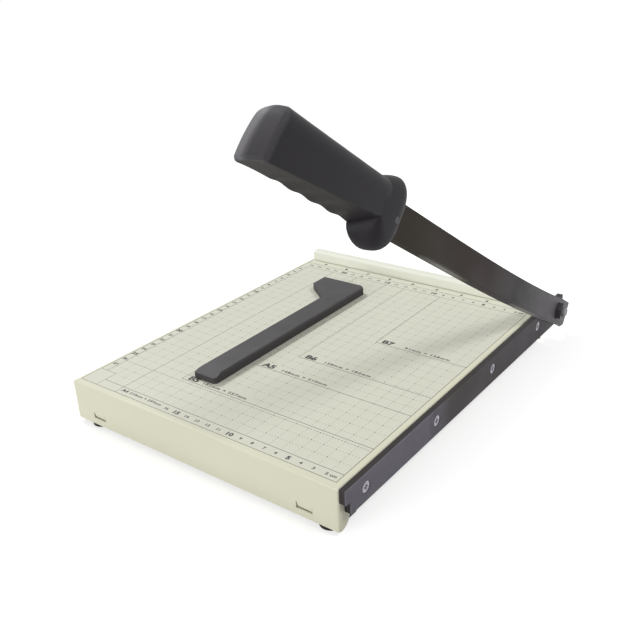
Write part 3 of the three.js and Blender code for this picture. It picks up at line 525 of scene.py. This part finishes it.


# Handle, moulded over the tang of the blade: a crowned grip with finger grooves and a guard, with a
# painted highlight that makes its end face pale

handle = {
    "start": 337.5, "end": 459, "inner": 0.3,       # from the pivot along the arm, and its blade side
    "width": 18, "top": 16, "bottom": 11.6, "tilt": 0.033, "round": 1.5,
    "crownDrop": 5, "crownShare": 0.45, "shoulder": 3,
    "creaseDrop": 5.4, "creaseFall": 0.022, "flare": 0.9, "flareLength": 22,
    "fingers": 4, "fingerPitch": 18, "fingerDepth": 0.8,
    "guardWidth": 18.5, "guardLean": 0.16, "faceRadius": 9, "sideRadius": 4, "innerDraw": 0.3,
    "lobe": 10.8, "lobePlace": 10.5, "lobeReach": 13.5, "lobeRoot": 0.6, "lobeCrease": 1.5,
    "lobeRound": 7.5, "lobeCreaseRound": 9,
    "crest": 4.2, "crestPlace": 6, "crestReach": 14,
    "endLean": 0.33, "endBow": 1.5, "endTopRadius": 7.5, "endFootRadius": 3, "endEdge": 1.2,
    "endInnerDrop": 3.5, "endOuterDrop": 2, "ridgeRound": 1.5,
    "tang": (-8.6, 11, 3.6, 419.8), "neck": (-10.1, 12.5, 3.6, 341.8),  # pockets: low, high, depth, reach
    "screws": ((346, 21.5), (391, 13.9)), "screwLevel": -3, "screwHole": 2.3, "cutOver": 2,
    "pointCounts": (9, 6, 6, 10, 9, 18, 12, 10),    # on each stretch of the outline
    "faceRings": 15, "lobeRings": 44, "gripRings": 120, "edgeRings": 9, "capRings": 9,
    "capShares": (0.8, 0.04), "endPower": 3, "holeSides": 48,
    # The pale end colour is a painted highlight on the end face
    "colour": srgb(36, 33, 37), "highlightColour": srgb(106, 104, 108), "highlightSlope": 0.25,
    "highlightFrom": 0.9, "highlightTo": 3.4, "highlightMiddle": 5, "highlightHalf": 14, "highlightOuter": 0.35, "highlightSide": 2,
}


# The end face's painted highlight is found by the face's own formula: it leans, bows as a parabola and
# falls away from the ridge to both sides. The painted highlight is palest on the face's blade side.
def handleTint(tree):
    h = handle
    distance, level, sideways = armPlaces(tree)
    ridge = (h["inner"] + h["width"] * h["crownShare"]) * mm
    fall = times(tree, addMath(tree, "ABSOLUTE", minus(tree, sideways, ridge)), h["highlightSlope"])
    bent = addMath(tree, "DIVIDE", minus(tree, level, h["highlightMiddle"] * mm), h["highlightHalf"] * mm)
    bow = times(tree, bent, bent, h["endBow"] * mm)
    face = plus(tree, times(tree, level, h["endLean"]), fall, bow)
    behind = minus(tree, h["end"] * mm, plus(tree, distance, face))
    # Painted highlight: the end face's mask, palest on the blade side
    wearAndHighlight = addRange(tree, behind, h["highlightTo"] * mm, h["highlightFrom"] * mm)
    side = h["highlightSide"] * mm
    inward = addRange(tree, sideways, ridge + side, ridge - side, h["highlightOuter"], 1)
    return addMix(tree, times(tree, wearAndHighlight, inward), h["colour"], h["highlightColour"])


creamBed = makeCream("cream_bed", bedTint)
creamPaint = makeCream("cream_paint", srgb(244, 245, 232))
# Steel: colour, gloss, mottle, streaks, bare edges and how much of them, and metal
blackBar = makeSteel("blackened_bar", barTint, 0.5, 0.3, 0.6, srgb(120, 118, 120), 0.3, 0, 0.25)
blackSteel = makeSteel("blackened_steel", armTint, 0.46, 0.25, 0.8, srgb(120, 117, 112), 0.3, 0, 0.1)
brightZinc = makeSteel("bright_zinc", srgb(182, 179, 189), 0.36, 0.5, 0.2, srgb(222, 222, 226), 0.4, 0.6)
dullZinc = makeSteel("dull_zinc", srgb(150, 148, 152), 0.5, 0.5, 0.2, srgb(176, 174, 178), 0.3, 0.3, 0.3)
darkZinc = makeSteel("dark_zinc", srgb(66, 64, 68), 0.42, 0.4, 0.2, srgb(130, 128, 132), 0.4, 0.1, 0.35)
wireSteel = makeSteel("spring_wire", srgb(178, 178, 182), 0.28, 0.3, 0.6, srgb(220, 220, 224), 0.3, 0.9)
nickel = makeSteel("magnet_nickel", srgb(188, 188, 190), 0.22, 0.25, 0.1, srgb(225, 225, 228), 0.4, 0.95)
# Plastic: colour, gloss, scale of the grain, bare edges and dust
blackPlastic = makePlastic("black_plastic", handleTint, 0.5, 2600, srgb(66, 63, 67), 0.02, 0.16)
greyPlastic = makePlastic("grey_plastic", srgb(67, 65, 67), 0.55, 2200, srgb(92, 90, 91), 0.03)
footRubber = makePlastic("foot_rubber", srgb(40, 38, 38), 0.75, 1500, srgb(70, 68, 68), 0.08)

finishes = {
    "base_pan": creamBed, "fence_rail": creamPaint, "fixed_blade": blackBar, "cutting_arm": blackSteel,
    "handle": blackPlastic, "stop_gauge": greyPlastic, "pivot_nut": darkZinc, "pivot_spring": wireSteel,
    "pivot_bolt": dullZinc, "tang_screw_1": darkZinc, "tang_screw_2": darkZinc,
    "front_foot_rail": darkZinc, "rear_foot_rail": darkZinc,
}
for name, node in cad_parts.items():
    plain = nickel if "magnet" in name else brightZinc
    if name.startswith("foot_") and "screw" not in name:
        plain = footRubber
    node.data.materials.clear()
    node.data.materials.append(finishes.get(name, plain))
    shadeSoftly(node)
print("materials placed on", len(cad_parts), "nodes")


def blend(first, second, share):
    return first + (second - first) * share


def lobeShare(distance, reach):
    return np.sqrt(np.clip(1 - (distance / reach) ** 2, 0, None))


# Width, top, bottom and crease of the section at each distance along the arm. The lobe below and the
# crest above follow a circle and a parabola, and each finger groove is one arch of a squared sine.
def handleSection(along):
    h = handle
    place = h["start"] + h["lobePlace"]
    crestPlace = h["start"] + h["crestPlace"]
    lobe = lobeShare(along - place, h["lobeReach"])
    crest = np.where(along < crestPlace, 1, lobeShare(along - crestPlace, h["crestReach"]) ** 2)
    depth = np.where(along < place, blend(h["lobeRoot"], 1, lobe), lobe)
    onGrip = np.clip(along - place - h["lobeReach"], 0, None)
    finger = onGrip / h["fingerPitch"]
    groove = np.where(finger < h["fingers"], h["fingerDepth"] * np.sin(np.pi * finger) ** 2, 0)
    flare = h["flare"] * np.clip(1 - (h["end"] - along) / h["flareLength"], 0, None) ** 2
    bottom = h["tilt"] * onGrip + groove - flare - h["bottom"] - h["lobe"] * depth
    creaseLine = -h["creaseDrop"] - h["creaseFall"] * onGrip
    return {
        "lobe": lobe,
        "width": blend(h["width"], h["guardWidth"], depth * lobe),
        "top": h["top"] + h["crest"] * crest + h["tilt"] * onGrip,
        "bottom": bottom,
        "crease": blend(creaseLine, bottom + h["lobeCrease"], lobe),
    }


# Points on the straight line or quadratic curve that two or three corners (rings, 2) give
def edgePoints(corners, count):
    share = (np.arange(count) / count)[None, :, None]
    first, *middle, last = (corner[:, None] for corner in corners)
    if not middle:
        return first * (1 - share) + last * share
    return first * (1 - share) ** 2 + middle[0] * 2 * share * (1 - share) + last * share ** 2


# Outlines (rings, around, 2) of the handle's section: flat on the blade side, a crowned top, and an
# underside that rises in a straight line to a crease at the outer side; the draws pull them in
def handleOutlines(along, drawX, drawZ):
    h = handle
    s = handleSection(along)
    inner = h["inner"] + drawX * h["innerDraw"]
    outer = h["inner"] + s["width"] - drawX
    high, low, crease = s["top"] - drawZ, s["bottom"] + drawZ, s["crease"] + drawZ
    lower = blend(h["round"], h["lobeRound"], s["lobe"])
    outerRound = blend(h["round"], h["lobeCreaseRound"], s["lobe"])
    crown = blend(inner, outer, h["crownShare"])
    rise = (crease - low) / (outer - inner)

    def at(x, z):
        return np.stack([x, z], -1)

    footInner, footStart = at(inner, low + lower), at(inner + lower, low + rise * lower)
    footMiddle = at(crown, low + rise * (crown - inner))
    footEnd = at(outer - outerRound, crease - rise * outerRound)
    sideLow, sideHigh = at(outer, crease + outerRound), at(outer, (high + low) / 2 + h["shoulder"])
    crownTop, innerTop = at(crown, high), at(inner, high - h["crownDrop"])
    stretches = [
        (footInner, at(inner, low), footStart), (footStart, footMiddle), (footMiddle, footEnd),
        (footEnd, at(outer, crease), sideLow), (sideLow, sideHigh), (sideHigh, at(outer, high), crownTop),
        (crownTop, at(inner, high), innerTop), (innerTop, footInner),
    ]
    return np.concatenate([edgePoints(*each) for each in zip(stretches, h["pointCounts"])], axis=1)


# Width, top and bottom of the section at the end, its ridge's place and the middle of its height
def endSection():
    section = handleSection(np.array([float(handle["end"])]))
    width, top, bottom = (section[key][0] for key in ("width", "top", "bottom"))
    return width, top, bottom, handle["inner"] + width * handle["crownShare"], (top + bottom) / 2


# How far the end face falls back at points of the section: it leans, bows as a parabola, slopes away
# from a rounded upright ridge to both sides as a hyperbola, and its top and bottom corners are arcs
def endDrop(x, z):
    h = handle
    width, top, bottom, crown, middle = endSection()
    bow = h["endBow"] * ((z - middle) / (top - middle)) ** 2

    def rounded(away):
        return np.sqrt(away ** 2 + h["ridgeRound"] ** 2) - h["ridgeRound"]

    slope = np.where(x < crown, h["endInnerDrop"] / rounded(crown - h["inner"]),
                     h["endOuterDrop"] / rounded(h["inner"] + width - crown))

    def corner(past, radius):
        return radius - np.sqrt(radius ** 2 - np.clip(past, 0, radius) ** 2)

    topDrop = corner(z - top + h["endTopRadius"], h["endTopRadius"])
    footDrop = corner(bottom + h["endFootRadius"] - z, h["endFootRadius"])
    return h["endLean"] * z + slope * rounded(x - crown) + bow + topDrop + footDrop


# The whole skin as rings (rings, around, 3): the guard's rounded face, the lobe, the grip, the
# rounded edge of the end and the end face, drawn in ring by ring to its middle
def handleRings():
    h = handle
    first, last = h["start"] + h["faceRadius"], h["end"] - h["endEdge"]
    turn = np.linspace(0, np.pi / 2, h["faceRings"])
    faceAlong = h["start"] + h["faceRadius"] * (1 - np.cos(turn))
    draw = 1 - np.sin(turn)
    place = h["start"] + h["lobePlace"]
    lobeStart = np.arcsin((first - place) / h["lobeReach"])
    lobeTurn = np.linspace(lobeStart, np.pi / 2, h["lobeRings"])[1:]
    lobeAlong = place + h["lobeReach"] * np.sin(lobeTurn)
    gripAlong = np.linspace(place + h["lobeReach"], last, h["gripRings"])[1:]
    along = np.concatenate([faceAlong, lobeAlong, gripAlong])
    still = np.zeros(len(along) - len(draw))
    drawX = np.concatenate([draw * h["sideRadius"], still])
    drawZ = np.concatenate([draw * h["faceRadius"], still])
    share = np.clip((along - first) / (last - first), 0, 1) ** h["endPower"]
    outlines = handleOutlines(along, drawX, drawZ)
    x, z = outlines[..., 0], outlines[..., 1]
    y = blend(h["guardLean"] * z, endDrop(x, z), share[:, None]) - along[:, None]
    body = np.stack([x, y, z], -1)

    outline = handleOutlines(np.array([float(h["end"])]), np.zeros(1), np.zeros(1))
    crown, middle = endSection()[3:]
    turn = np.linspace(0, np.pi / 2, h["edgeRings"])[1:]
    edgeShares = 1 - 2 * h["endEdge"] / h["width"] * (1 - np.cos(turn))
    capShares = np.linspace(*h["capShares"], h["capRings"])
    shares = np.concatenate([edgeShares, capShares])
    back = np.concatenate([h["endEdge"] * (1 - np.sin(turn)), np.zeros(h["capRings"])])
    x = blend(crown, outline[..., 0], shares[:, None])
    z = blend(middle, outline[..., 1], shares[:, None])
    cap = np.stack([x, endDrop(x, z) + back[:, None] - h["end"], z], -1)
    return np.concatenate([body, cap])


# A closed box in the arm's frame between two corners
def armBox(name, low, high):
    low, high = np.array(low, float), np.array(high, float)
    corners = np.array([(a, b, c) for a in (0, 1) for b in (0, 1) for c in (0, 1)])
    faces = [(0, 1, 3, 2), (4, 6, 7, 5), (0, 4, 5, 1), (2, 3, 7, 6), (0, 2, 6, 4), (1, 5, 7, 3)]
    return addMesh(name, fromArm(low + corners * (high - low)), faces)


# A closed round bar along X in the arm's frame
def armBar(name, along, level, radius, low, high, sides):
    turn = np.linspace(0, 2 * np.pi, sides, endpoint=False)
    ring = np.stack([np.zeros(sides), radius * np.cos(turn) - along, radius * np.sin(turn) + level], -1)
    return addLoft(name, fromArm(np.stack([ring + (low, 0, 0), ring + (high, 0, 0)])))


# The finished mesh of a piece, with its modifiers done
def finishedMesh(piece):
    return bpy.data.meshes.new_from_object(piece.evaluated_get(bpy.context.evaluated_depsgraph_get()))


# Cuts other pieces out of a piece and keeps only the finished mesh
def cutAway(piece, cutters):
    for cutter in cutters:
        modifier = piece.modifiers.new("cut", "BOOLEAN")
        modifier.operation = "DIFFERENCE"
        modifier.solver = "EXACT"
        modifier.object = cutter
    finished = finishedMesh(piece)
    piece.modifiers.clear()
    piece.data = finished
    for cutter in cutters:
        bpy.data.objects.remove(cutter)


def addHandle():
    h = handle
    piece = addLoft("handle_grip", fromArm(handleRings()))
    bladeSide = h["inner"] - h["cutOver"]
    tangLow, tangHigh, tangDeep, tangReach = h["tang"]
    neckLow, neckHigh, neckDeep, neckReach = h["neck"]
    tangStart, neckStart = h["cutOver"] - h["start"], h["faceRadius"] - h["start"]
    cutters = [
        armBox("tang_pocket", (bladeSide, -tangReach, tangLow), (tangDeep, tangStart, tangHigh)),
        armBox("neck_pocket", (bladeSide, -neckReach, neckLow), (neckDeep, neckStart, neckHigh)),
    ]
    for index, (along, end) in enumerate(h["screws"]):
        hole = (along, h["screwLevel"], h["screwHole"], bladeSide, end, h["holeSides"])
        cutters.append(armBar(f"screw_hole_{index}", *hole))
    cutAway(piece, cutters)
    piece.data.materials.clear()
    piece.data.materials.append(blackPlastic)
    shadeSoftly(piece)
    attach(piece, "arm")
    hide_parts("handle")


addHandle()
print("handle built over the tang")


# Pivot spring: a round wire carried along a helix, with one wire's length straight at each end

spring = {"outer": 14, "wire": 1.5, "curls": 5, "sides": 20, "stepsPerCurl": 48}


def addSpring():
    p = spring
    low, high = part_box("pivot_spring")
    near, far = (low.x - cutPlane) / mm, (high.x - cutPlane) / mm
    radius = (p["outer"] - p["wire"]) / 2
    angle = np.linspace(0, 2 * np.pi * p["curls"], p["curls"] * p["stepsPerCurl"] + 1)
    x = np.linspace(near + 1.5 * p["wire"], far - 1.5 * p["wire"], len(angle))
    ends = np.array([near, near + 0.5 * p["wire"], near + p["wire"]])
    x = np.concatenate([ends, x[2:-2], (near + far) - ends[::-1]])
    angle = np.concatenate([np.zeros(3), angle[2:-2], np.full(3, angle[-1])])
    still = np.zeros_like(x)
    outward = np.stack([still, np.cos(angle), np.sin(angle)], -1)
    centre = outward * radius + np.stack([x, still, still], -1)
    along = np.gradient(centre, axis=0)
    along[:2] = along[-2:] = (1, 0, 0)
    along /= np.linalg.norm(along, axis=1, keepdims=True)
    side = np.cross(along, outward)
    side /= np.linalg.norm(side, axis=1, keepdims=True)
    turn = np.linspace(0, 2 * np.pi, p["sides"], endpoint=False)[None, :, None]
    around = np.cos(turn) * outward[:, None] + np.sin(turn) * side[:, None]
    rings = centre[:, None] + p["wire"] / 2 * around
    piece = addLoft("pivot_spring_wire", fromDatum(rings + np.array(armRest["pivot"])))
    piece.data.materials.append(wireSteel)
    shadeSoftly(piece)
    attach(piece, "base")
    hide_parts("pivot_spring")


addSpring()
print("pivot spring wound")


# Print on the bed: centimetre and inch scales, paper sizes and a dotted centimetre grid, in millimetres

centimetre, inch = 10, 25.4

printLayout = {
    "zero": (-0.9, 0.6),          # where the scales count from, from the cutting plane and the fence
    "ink": 0.02, "lift": 0.004,   # thickness of the ink, and its gap above the paint
    "line": 0.38, "fineLine": 0.32,
    "left": -248.8, "right": -10.9, "front": -297.9, "rear": -0.9,
    "inchStrip": -10, "cmStrip": -20, "leftStrip": -242.2, "frontStrip": -289.3,
    "corner": (-231.8, -278.6),
    "sizes": {"B7": (91, 128), "B6": (128, 182), "A5": (148, 210), "B5": (182, 257)},
    "a4": (210, 297),
}
zeroX, zeroY = printLayout["zero"]

# Marks are (length, width), spans (start, stop, step) from the zero, and the name box is what a paper
# size's name takes up: left, right, low and high from the outline's corner
gridPrint = {
    "rows": range(3, 29), "rowSpan": (10, 241, 2.5), "columns": range(2, 25), "columnSpan": (20, 289, 2.5),
    "dash": (1.3, 0.2), "boldRow": 26, "boldDash": (1.5, 0.34), "dot": (0.72, 0.72), "dotSpan": (30, 281, 10),
    "lineGap": 1.2, "cornerGap": 1, "nameBox": (2, 67, 1, 9.5),
}


# Flat bars of ink from an array of rectangles (x0, y0, x1, y1) on the bed
def addInkBars(name, rectangles, colour):
    p = printLayout
    x0, y0, x1, y1 = np.asarray(rectangles, float).T
    corners = [(x0, y0), (x1, y0), (x1, y1), (x0, y1)]
    levels = (p["lift"], p["lift"] + p["ink"])
    points = np.stack([np.stack([x, y, np.full_like(x, z)], -1) for z in levels for x, y in corners], axis=1)
    box = np.array([(3, 2, 1, 0), (4, 5, 6, 7), (0, 1, 5, 4), (1, 2, 6, 5), (2, 3, 7, 6), (3, 0, 4, 7)])
    faces = (box[None] + 8 * np.arange(len(x0))[:, None, None]).reshape(-1, 4)
    piece = addMesh(name, fromDatum(points.reshape(-1, 3)), faces)
    piece.data.materials.append(colour)
    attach(piece, "base")


def across(y, x0, x1, width):
    return (x0, y - width / 2, x1, y + width / 2)


def upright(x, y0, y1, width):
    return (x - width / 2, y0, x + width / 2, y1)


def printLines():
    p = printLayout
    line, fine = p["line"], p["fineLine"]
    left, right, front, rear = p["left"], p["right"], p["front"], p["rear"]
    cornerX, cornerY = p["corner"]
    inchLevel, cmLevel = p["inchStrip"] + zeroY, p["cmStrip"] + zeroY
    bars = [
        across(front, left, right, line), upright(left, front, rear, line), upright(right, front, rear, line),
        across(inchLevel, left, right, fine), across(cmLevel, p["leftStrip"], right, fine),
        upright(p["leftStrip"], cornerY, cmLevel, fine), across(cornerY, left, cornerX, fine),
        upright(cornerX, front, cornerY, fine), across(p["frontStrip"], cornerX, right, line),
        upright(zeroX - p["a4"][0], front, cmLevel, fine),
    ]
    for width, height in p["sizes"].values():
        bars.append(across(zeroY - height, zeroX - width, right, line))
        bars.append(upright(zeroX - width, zeroY - height, cmLevel, fine))
    addInkBars("print_lines", bars, darkInk)


# Whether a mark is clear of the strips, the corner box and the paper sizes' names
def inGrid(x, y):
    p, g = printLayout, gridPrint
    gap, (left, right, low, high) = g["lineGap"], g["nameBox"]
    if not p["leftStrip"] + gap < x < p["right"] - gap:
        return False
    if not p["frontStrip"] + gap < y < p["cmStrip"] + zeroY - gap:
        return False
    if x < p["corner"][0] + g["cornerGap"] and y < p["corner"][1] + g["cornerGap"]:
        return False
    for width, height in p["sizes"].values():
        x0, y0 = zeroX - width, zeroY - height
        if x0 + left < x < x0 + right and y0 + low < y < y0 + high:
            return False
    return True


def gridMarks(points, length, width):
    x, y = length / 2, width / 2
    return [(a - x, b - y, a + x, b + y) for a, b in points if inGrid(a, b)]


# Fine dashes along each centimetre line, four to a centimetre, and a dot at every corner of the grid;
# the row below the lowest paper size is printed bolder
def printGrid():
    g = gridPrint
    fine, strong, dots = [], [], []
    for row in g["rows"]:
        level = zeroY - centimetre * row
        points = [(x, level) for x in zeroX - np.arange(*g["rowSpan"])]
        if row == g["boldRow"]:
            strong += gridMarks(points, *g["boldDash"])
        else:
            fine += gridMarks(points, *g["dash"])
    for column in g["columns"]:
        place = zeroX - centimetre * column
        fine += gridMarks([(place, y) for y in zeroY - np.arange(*g["columnSpan"])], *g["dash"][::-1])
        dots += gridMarks([(place, y) for y in zeroY - np.arange(*g["dotSpan"])], *g["dot"])
    addInkBars("print_grid", fine, faintInk)
    addInkBars("print_grid_dots", dots, paleInk)
    addInkBars("print_grid_row", strong, darkInk)


# Lettering in the default face: the height of its capitals as a share of its size, how far the letters
# are drawn wide, and how far their outlines are swollen
lettering = {"capitals": 0.729, "stretch": 1.27, "thin": 0.03, "bold": 0.05, "steps": 3}


# One line of lettering as points and faces, its capitals of the given height, placed from its left end
# or its middle
def letteringShape(words, height, place, anchor, bold, spacing=1.0):
    p, ink = lettering, printLayout["ink"]
    size = height / p["capitals"]
    curve = bpy.data.curves.new("lettering", "FONT")
    curve.body = words
    curve.align_x = anchor
    curve.resolution_u = p["steps"]
    curve.space_character = spacing
    curve.offset = p["bold"] if bold else p["thin"]
    curve.extrude = ink / 2 / size
    holder = addObject("lettering", curve)
    shape = finishedMesh(holder)
    points = np.zeros(len(shape.vertices) * 3)
    shape.vertices.foreach_get("co", points)
    faces = [tuple(face.vertices) for face in shape.polygons]
    bpy.data.objects.remove(holder)
    bpy.data.curves.remove(curve)
    bpy.data.meshes.remove(shape)
    points = points.reshape(-1, 3) * size * (p["stretch"], 1, 1)
    points += np.array([place[0], place[1] - height / 2, printLayout["lift"] + ink / 2])
    return points, faces


# Several lines of lettering as one mesh
def addLettering(name, entries, colour):
    allPoints, allFaces, count = [], [], 0
    for entry in entries:
        points, faces = letteringShape(*entry)
        allPoints.append(points)
        allFaces += [[index + count for index in face] for face in faces]
        count += len(points)
    piece = addMesh(name, fromDatum(np.concatenate(allPoints)), allFaces)
    piece.data.materials.append(colour)
    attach(piece, "base")


# Numbers: every fifth centimetre is larger and bold. Those at the left edge stand on their lines.
numberPrint = {
    "front": range(2, 17), "rear": range(2, 25), "left": range(3, 28), "inches": range(1, 10),
    "small": 2.5, "large": 3.6, "inchHeight": 3.2, "inchLevel": -5.6, "leftSmall": 2.6, "leftLarge": 3.3,
    "leftRise": 0.7, "unitPlace": 17.6, "boldEvery": 5,
}


def printNumbers():
    p, n = printLayout, numberPrint
    frontLevel = (p["front"] + p["frontStrip"]) / 2
    rearLevel = zeroY + (p["inchStrip"] + p["cmStrip"]) / 2
    entries = []
    for level, numbers in ((frontLevel, n["front"]), (rearLevel, n["rear"])):
        for cm in numbers:
            bold = cm % n["boldEvery"] == 0
            height = n["large"] if bold else n["small"]
            entries.append((str(cm), height, (zeroX - centimetre * cm, level), "CENTER", bold))
        entries.append(("cm", n["small"], (zeroX - n["unitPlace"], level), "LEFT", False))
    for number in n["inches"]:
        place = (zeroX - inch * number, n["inchLevel"])
        entries.append((str(number), n["inchHeight"], place, "CENTER", True))
    middle = (p["left"] + p["leftStrip"]) / 2
    for cm in n["left"]:
        height = n["leftSmall"] if cm % n["boldEvery"] else n["leftLarge"]
        place = (middle, zeroY - centimetre * cm + height / 2 + n["leftRise"])
        entries.append((str(cm), height, place, "CENTER", True))
    addLettering("print_numbers", entries, darkInk)


# Names and sizes of the papers, placed from the lower left corner of each outline
sizePrint = {
    "name": 5.5, "nameIn": 4.1, "nameUp": 4.4, "words": 2.9, "wordsUp": 3.6, "spacing": 1.22,
    "wordsIn": {"B7": 25.4, "B6": 21.9, "A5": 21.9, "B5": 18.4},
    "a4Name": 3.1, "a4NameIn": 2.6, "a4Words": 2.4, "a4WordsIn": 11, "a4Up": 1, "a4Spacing": 1.1,
}


def sizeWords(width, height):
    return f"{width}mm \u00d7 {height}mm"


def printSizes():
    p, s = printLayout, sizePrint
    entries = []
    for label, (width, height) in p["sizes"].items():
        x, y = zeroX - width, zeroY - height
        entries.append((label, s["name"], (x + s["nameIn"], y + s["nameUp"]), "LEFT", True))
        place = (x + s["wordsIn"][label], y + s["wordsUp"])
        entries.append((sizeWords(width, height), s["words"], place, "LEFT", False, s["spacing"]))
    x, level = zeroX - p["a4"][0], (p["front"] + p["frontStrip"]) / 2 + s["a4Up"]
    entries.append(("A4", s["a4Name"], (x + s["a4NameIn"], level), "LEFT", True))
    place = (x + s["a4WordsIn"], level)
    entries.append((sizeWords(*p["a4"]), s["a4Words"], place, "LEFT", False, s["a4Spacing"]))
    addLettering("print_sizes", entries, darkInk)


# Printing ink: a little uneven, so that the lines thin out here and there
inkLook = {"patches": (700, 3, 0.6), "patchSpan": (0.42, 0.7), "glossSpan": (0, 1, 0.5, 0.62)}


def makeInk(name, colour, wearAndHighlight):
    p = inkLook
    material, tree, shader = newMaterial(name)
    patches = addPatches(tree, p["patches"], p["patchSpan"])
    rough = addRange(tree, patches, *p["glossSpan"])
    feed(tree, shader, {"Base Color": addMix(tree, patches, colour, wearAndHighlight), "Roughness": rough})
    return material


darkInk = makeInk("print_ink", srgb(36, 36, 33), srgb(70, 69, 62))
paleInk = makeInk("print_ink_pale", srgb(64, 63, 56), srgb(104, 102, 92))
faintInk = makeInk("print_ink_faint", srgb(112, 110, 99), srgb(154, 152, 138))
printLines()
printGrid()
printNumbers()
printSizes()
print("scales and paper sizes printed on the bed")


# Floor, light and world

# Metres, and the clear glow's distances are from the middle of the object
floorLook = {
    "side": 6, "colour": (0.7, 0.7, 0.7, 1), "rough": 0.9, "glow": 0.64, "clearFrom": 0.45, "clearTo": 1.0,
}


# One for rays that look at the stage, straight or mirrored, and nought for those that light the object
def seenRays(tree):
    light = addNode(tree, "ShaderNodeLightPath")
    seen = addMath(tree, "MAXIMUM", light["Is Camera Ray"], light["Is Glossy Ray"])
    return addMath(tree, "MAXIMUM", seen, light["Is Transmission Ray"])


def mixShaders(tree, share, first, second):
    return addNode(tree, "ShaderNodeMixShader", {0: share, 1: first, 2: second})[0]


# White paper that glows a little where it is seen, fades to plain white far out, and is clear from below
# so that the underside can be seen
def addFloor():
    p = floorLook
    side = p["side"]
    corners = [(-side, -side, 0), (side, -side, 0), (side, side, 0), (-side, side, 0)]
    floor = addMesh("floor", corners, [(0, 1, 2, 3)])
    material, tree, shader = newMaterial("floor_white")
    feed(tree, shader, {"Base Color": p["colour"], "Roughness": p["rough"], "Specular IOR Level": 0})
    paper, seen = shader.outputs[0], seenRays(tree)
    glow = addNode(tree, "ShaderNodeEmission", {"Strength": p["glow"]})[0]
    lit = addNode(tree, "ShaderNodeAddShader", {0: paper, 1: glow})[0]
    away = addVector(tree, "LENGTH", objectPlace(tree))["Value"]
    far = times(tree, addRange(tree, away, p["clearFrom"], p["clearTo"]), seen)
    plain = addNode(tree, "ShaderNodeEmission")[0]
    whole = mixShaders(tree, far, mixShaders(tree, seen, paper, lit), plain)
    under = addNode(tree, "ShaderNodeNewGeometry")["Backfacing"]
    surface = mixShaders(tree, under, whole, addNode(tree, "ShaderNodeBsdfTransparent")[0])
    feed(tree, tree.nodes["Material Output"], {"Surface": surface})
    floor.data.materials.append(material)


# Each lamp looks at the bed's middle; its place is a direction and a distance in metres
lamps = {
    "right": {"from": (0.63, 0.08, 0.77), "distance": 1.2, "size": 0.28, "power": 3.6},
    "left": {"from": (-0.66, 0.22, 0.7), "distance": 4.0, "size": 0.8, "power": 70},
    "front": {"from": (-0.25, -0.9, 0.18), "distance": 2.4, "size": 1.2, "power": 25},
}
lampAim = (-110, -150, 0)
worldLight = {"colour": (1, 1, 1, 1), "ambient": 0.3, "seen": 1}


def addLamps():
    middle = Vector(fromDatum(lampAim))
    for name, p in lamps.items():
        lampData = bpy.data.lights.new(name, "AREA")
        lampData.shape = "DISK"
        lampData.size = p["size"]
        lampData.energy = p["power"]
        lamp = addObject(name, lampData)
        lamp.visible_camera = False
        away = Vector(p["from"]).normalized()
        lamp.location = middle + away * p["distance"]
        lamp.rotation_mode = "QUATERNION"
        lamp.rotation_quaternion = away.to_track_quat("Z", "Y")


def addWorld():
    p = worldLight
    world = bpy.data.worlds.new("studio")
    world.use_nodes = True
    tree = world.node_tree
    plain = tree.nodes["Background"]
    feed(tree, plain, {"Color": p["colour"], "Strength": p["ambient"]})
    white = addNode(tree, "ShaderNodeBackground", {"Color": p["colour"], "Strength": p["seen"]})[0]
    surface = mixShaders(tree, seenRays(tree), plain.outputs[0], white)
    feed(tree, tree.nodes["World Output"], {"Surface": surface})
    bpy.context.scene.world = world


addFloor()
addLamps()
addWorld()
bpy.context.scene.view_settings.view_transform = "Standard"
print("floor, lamps and world placed")
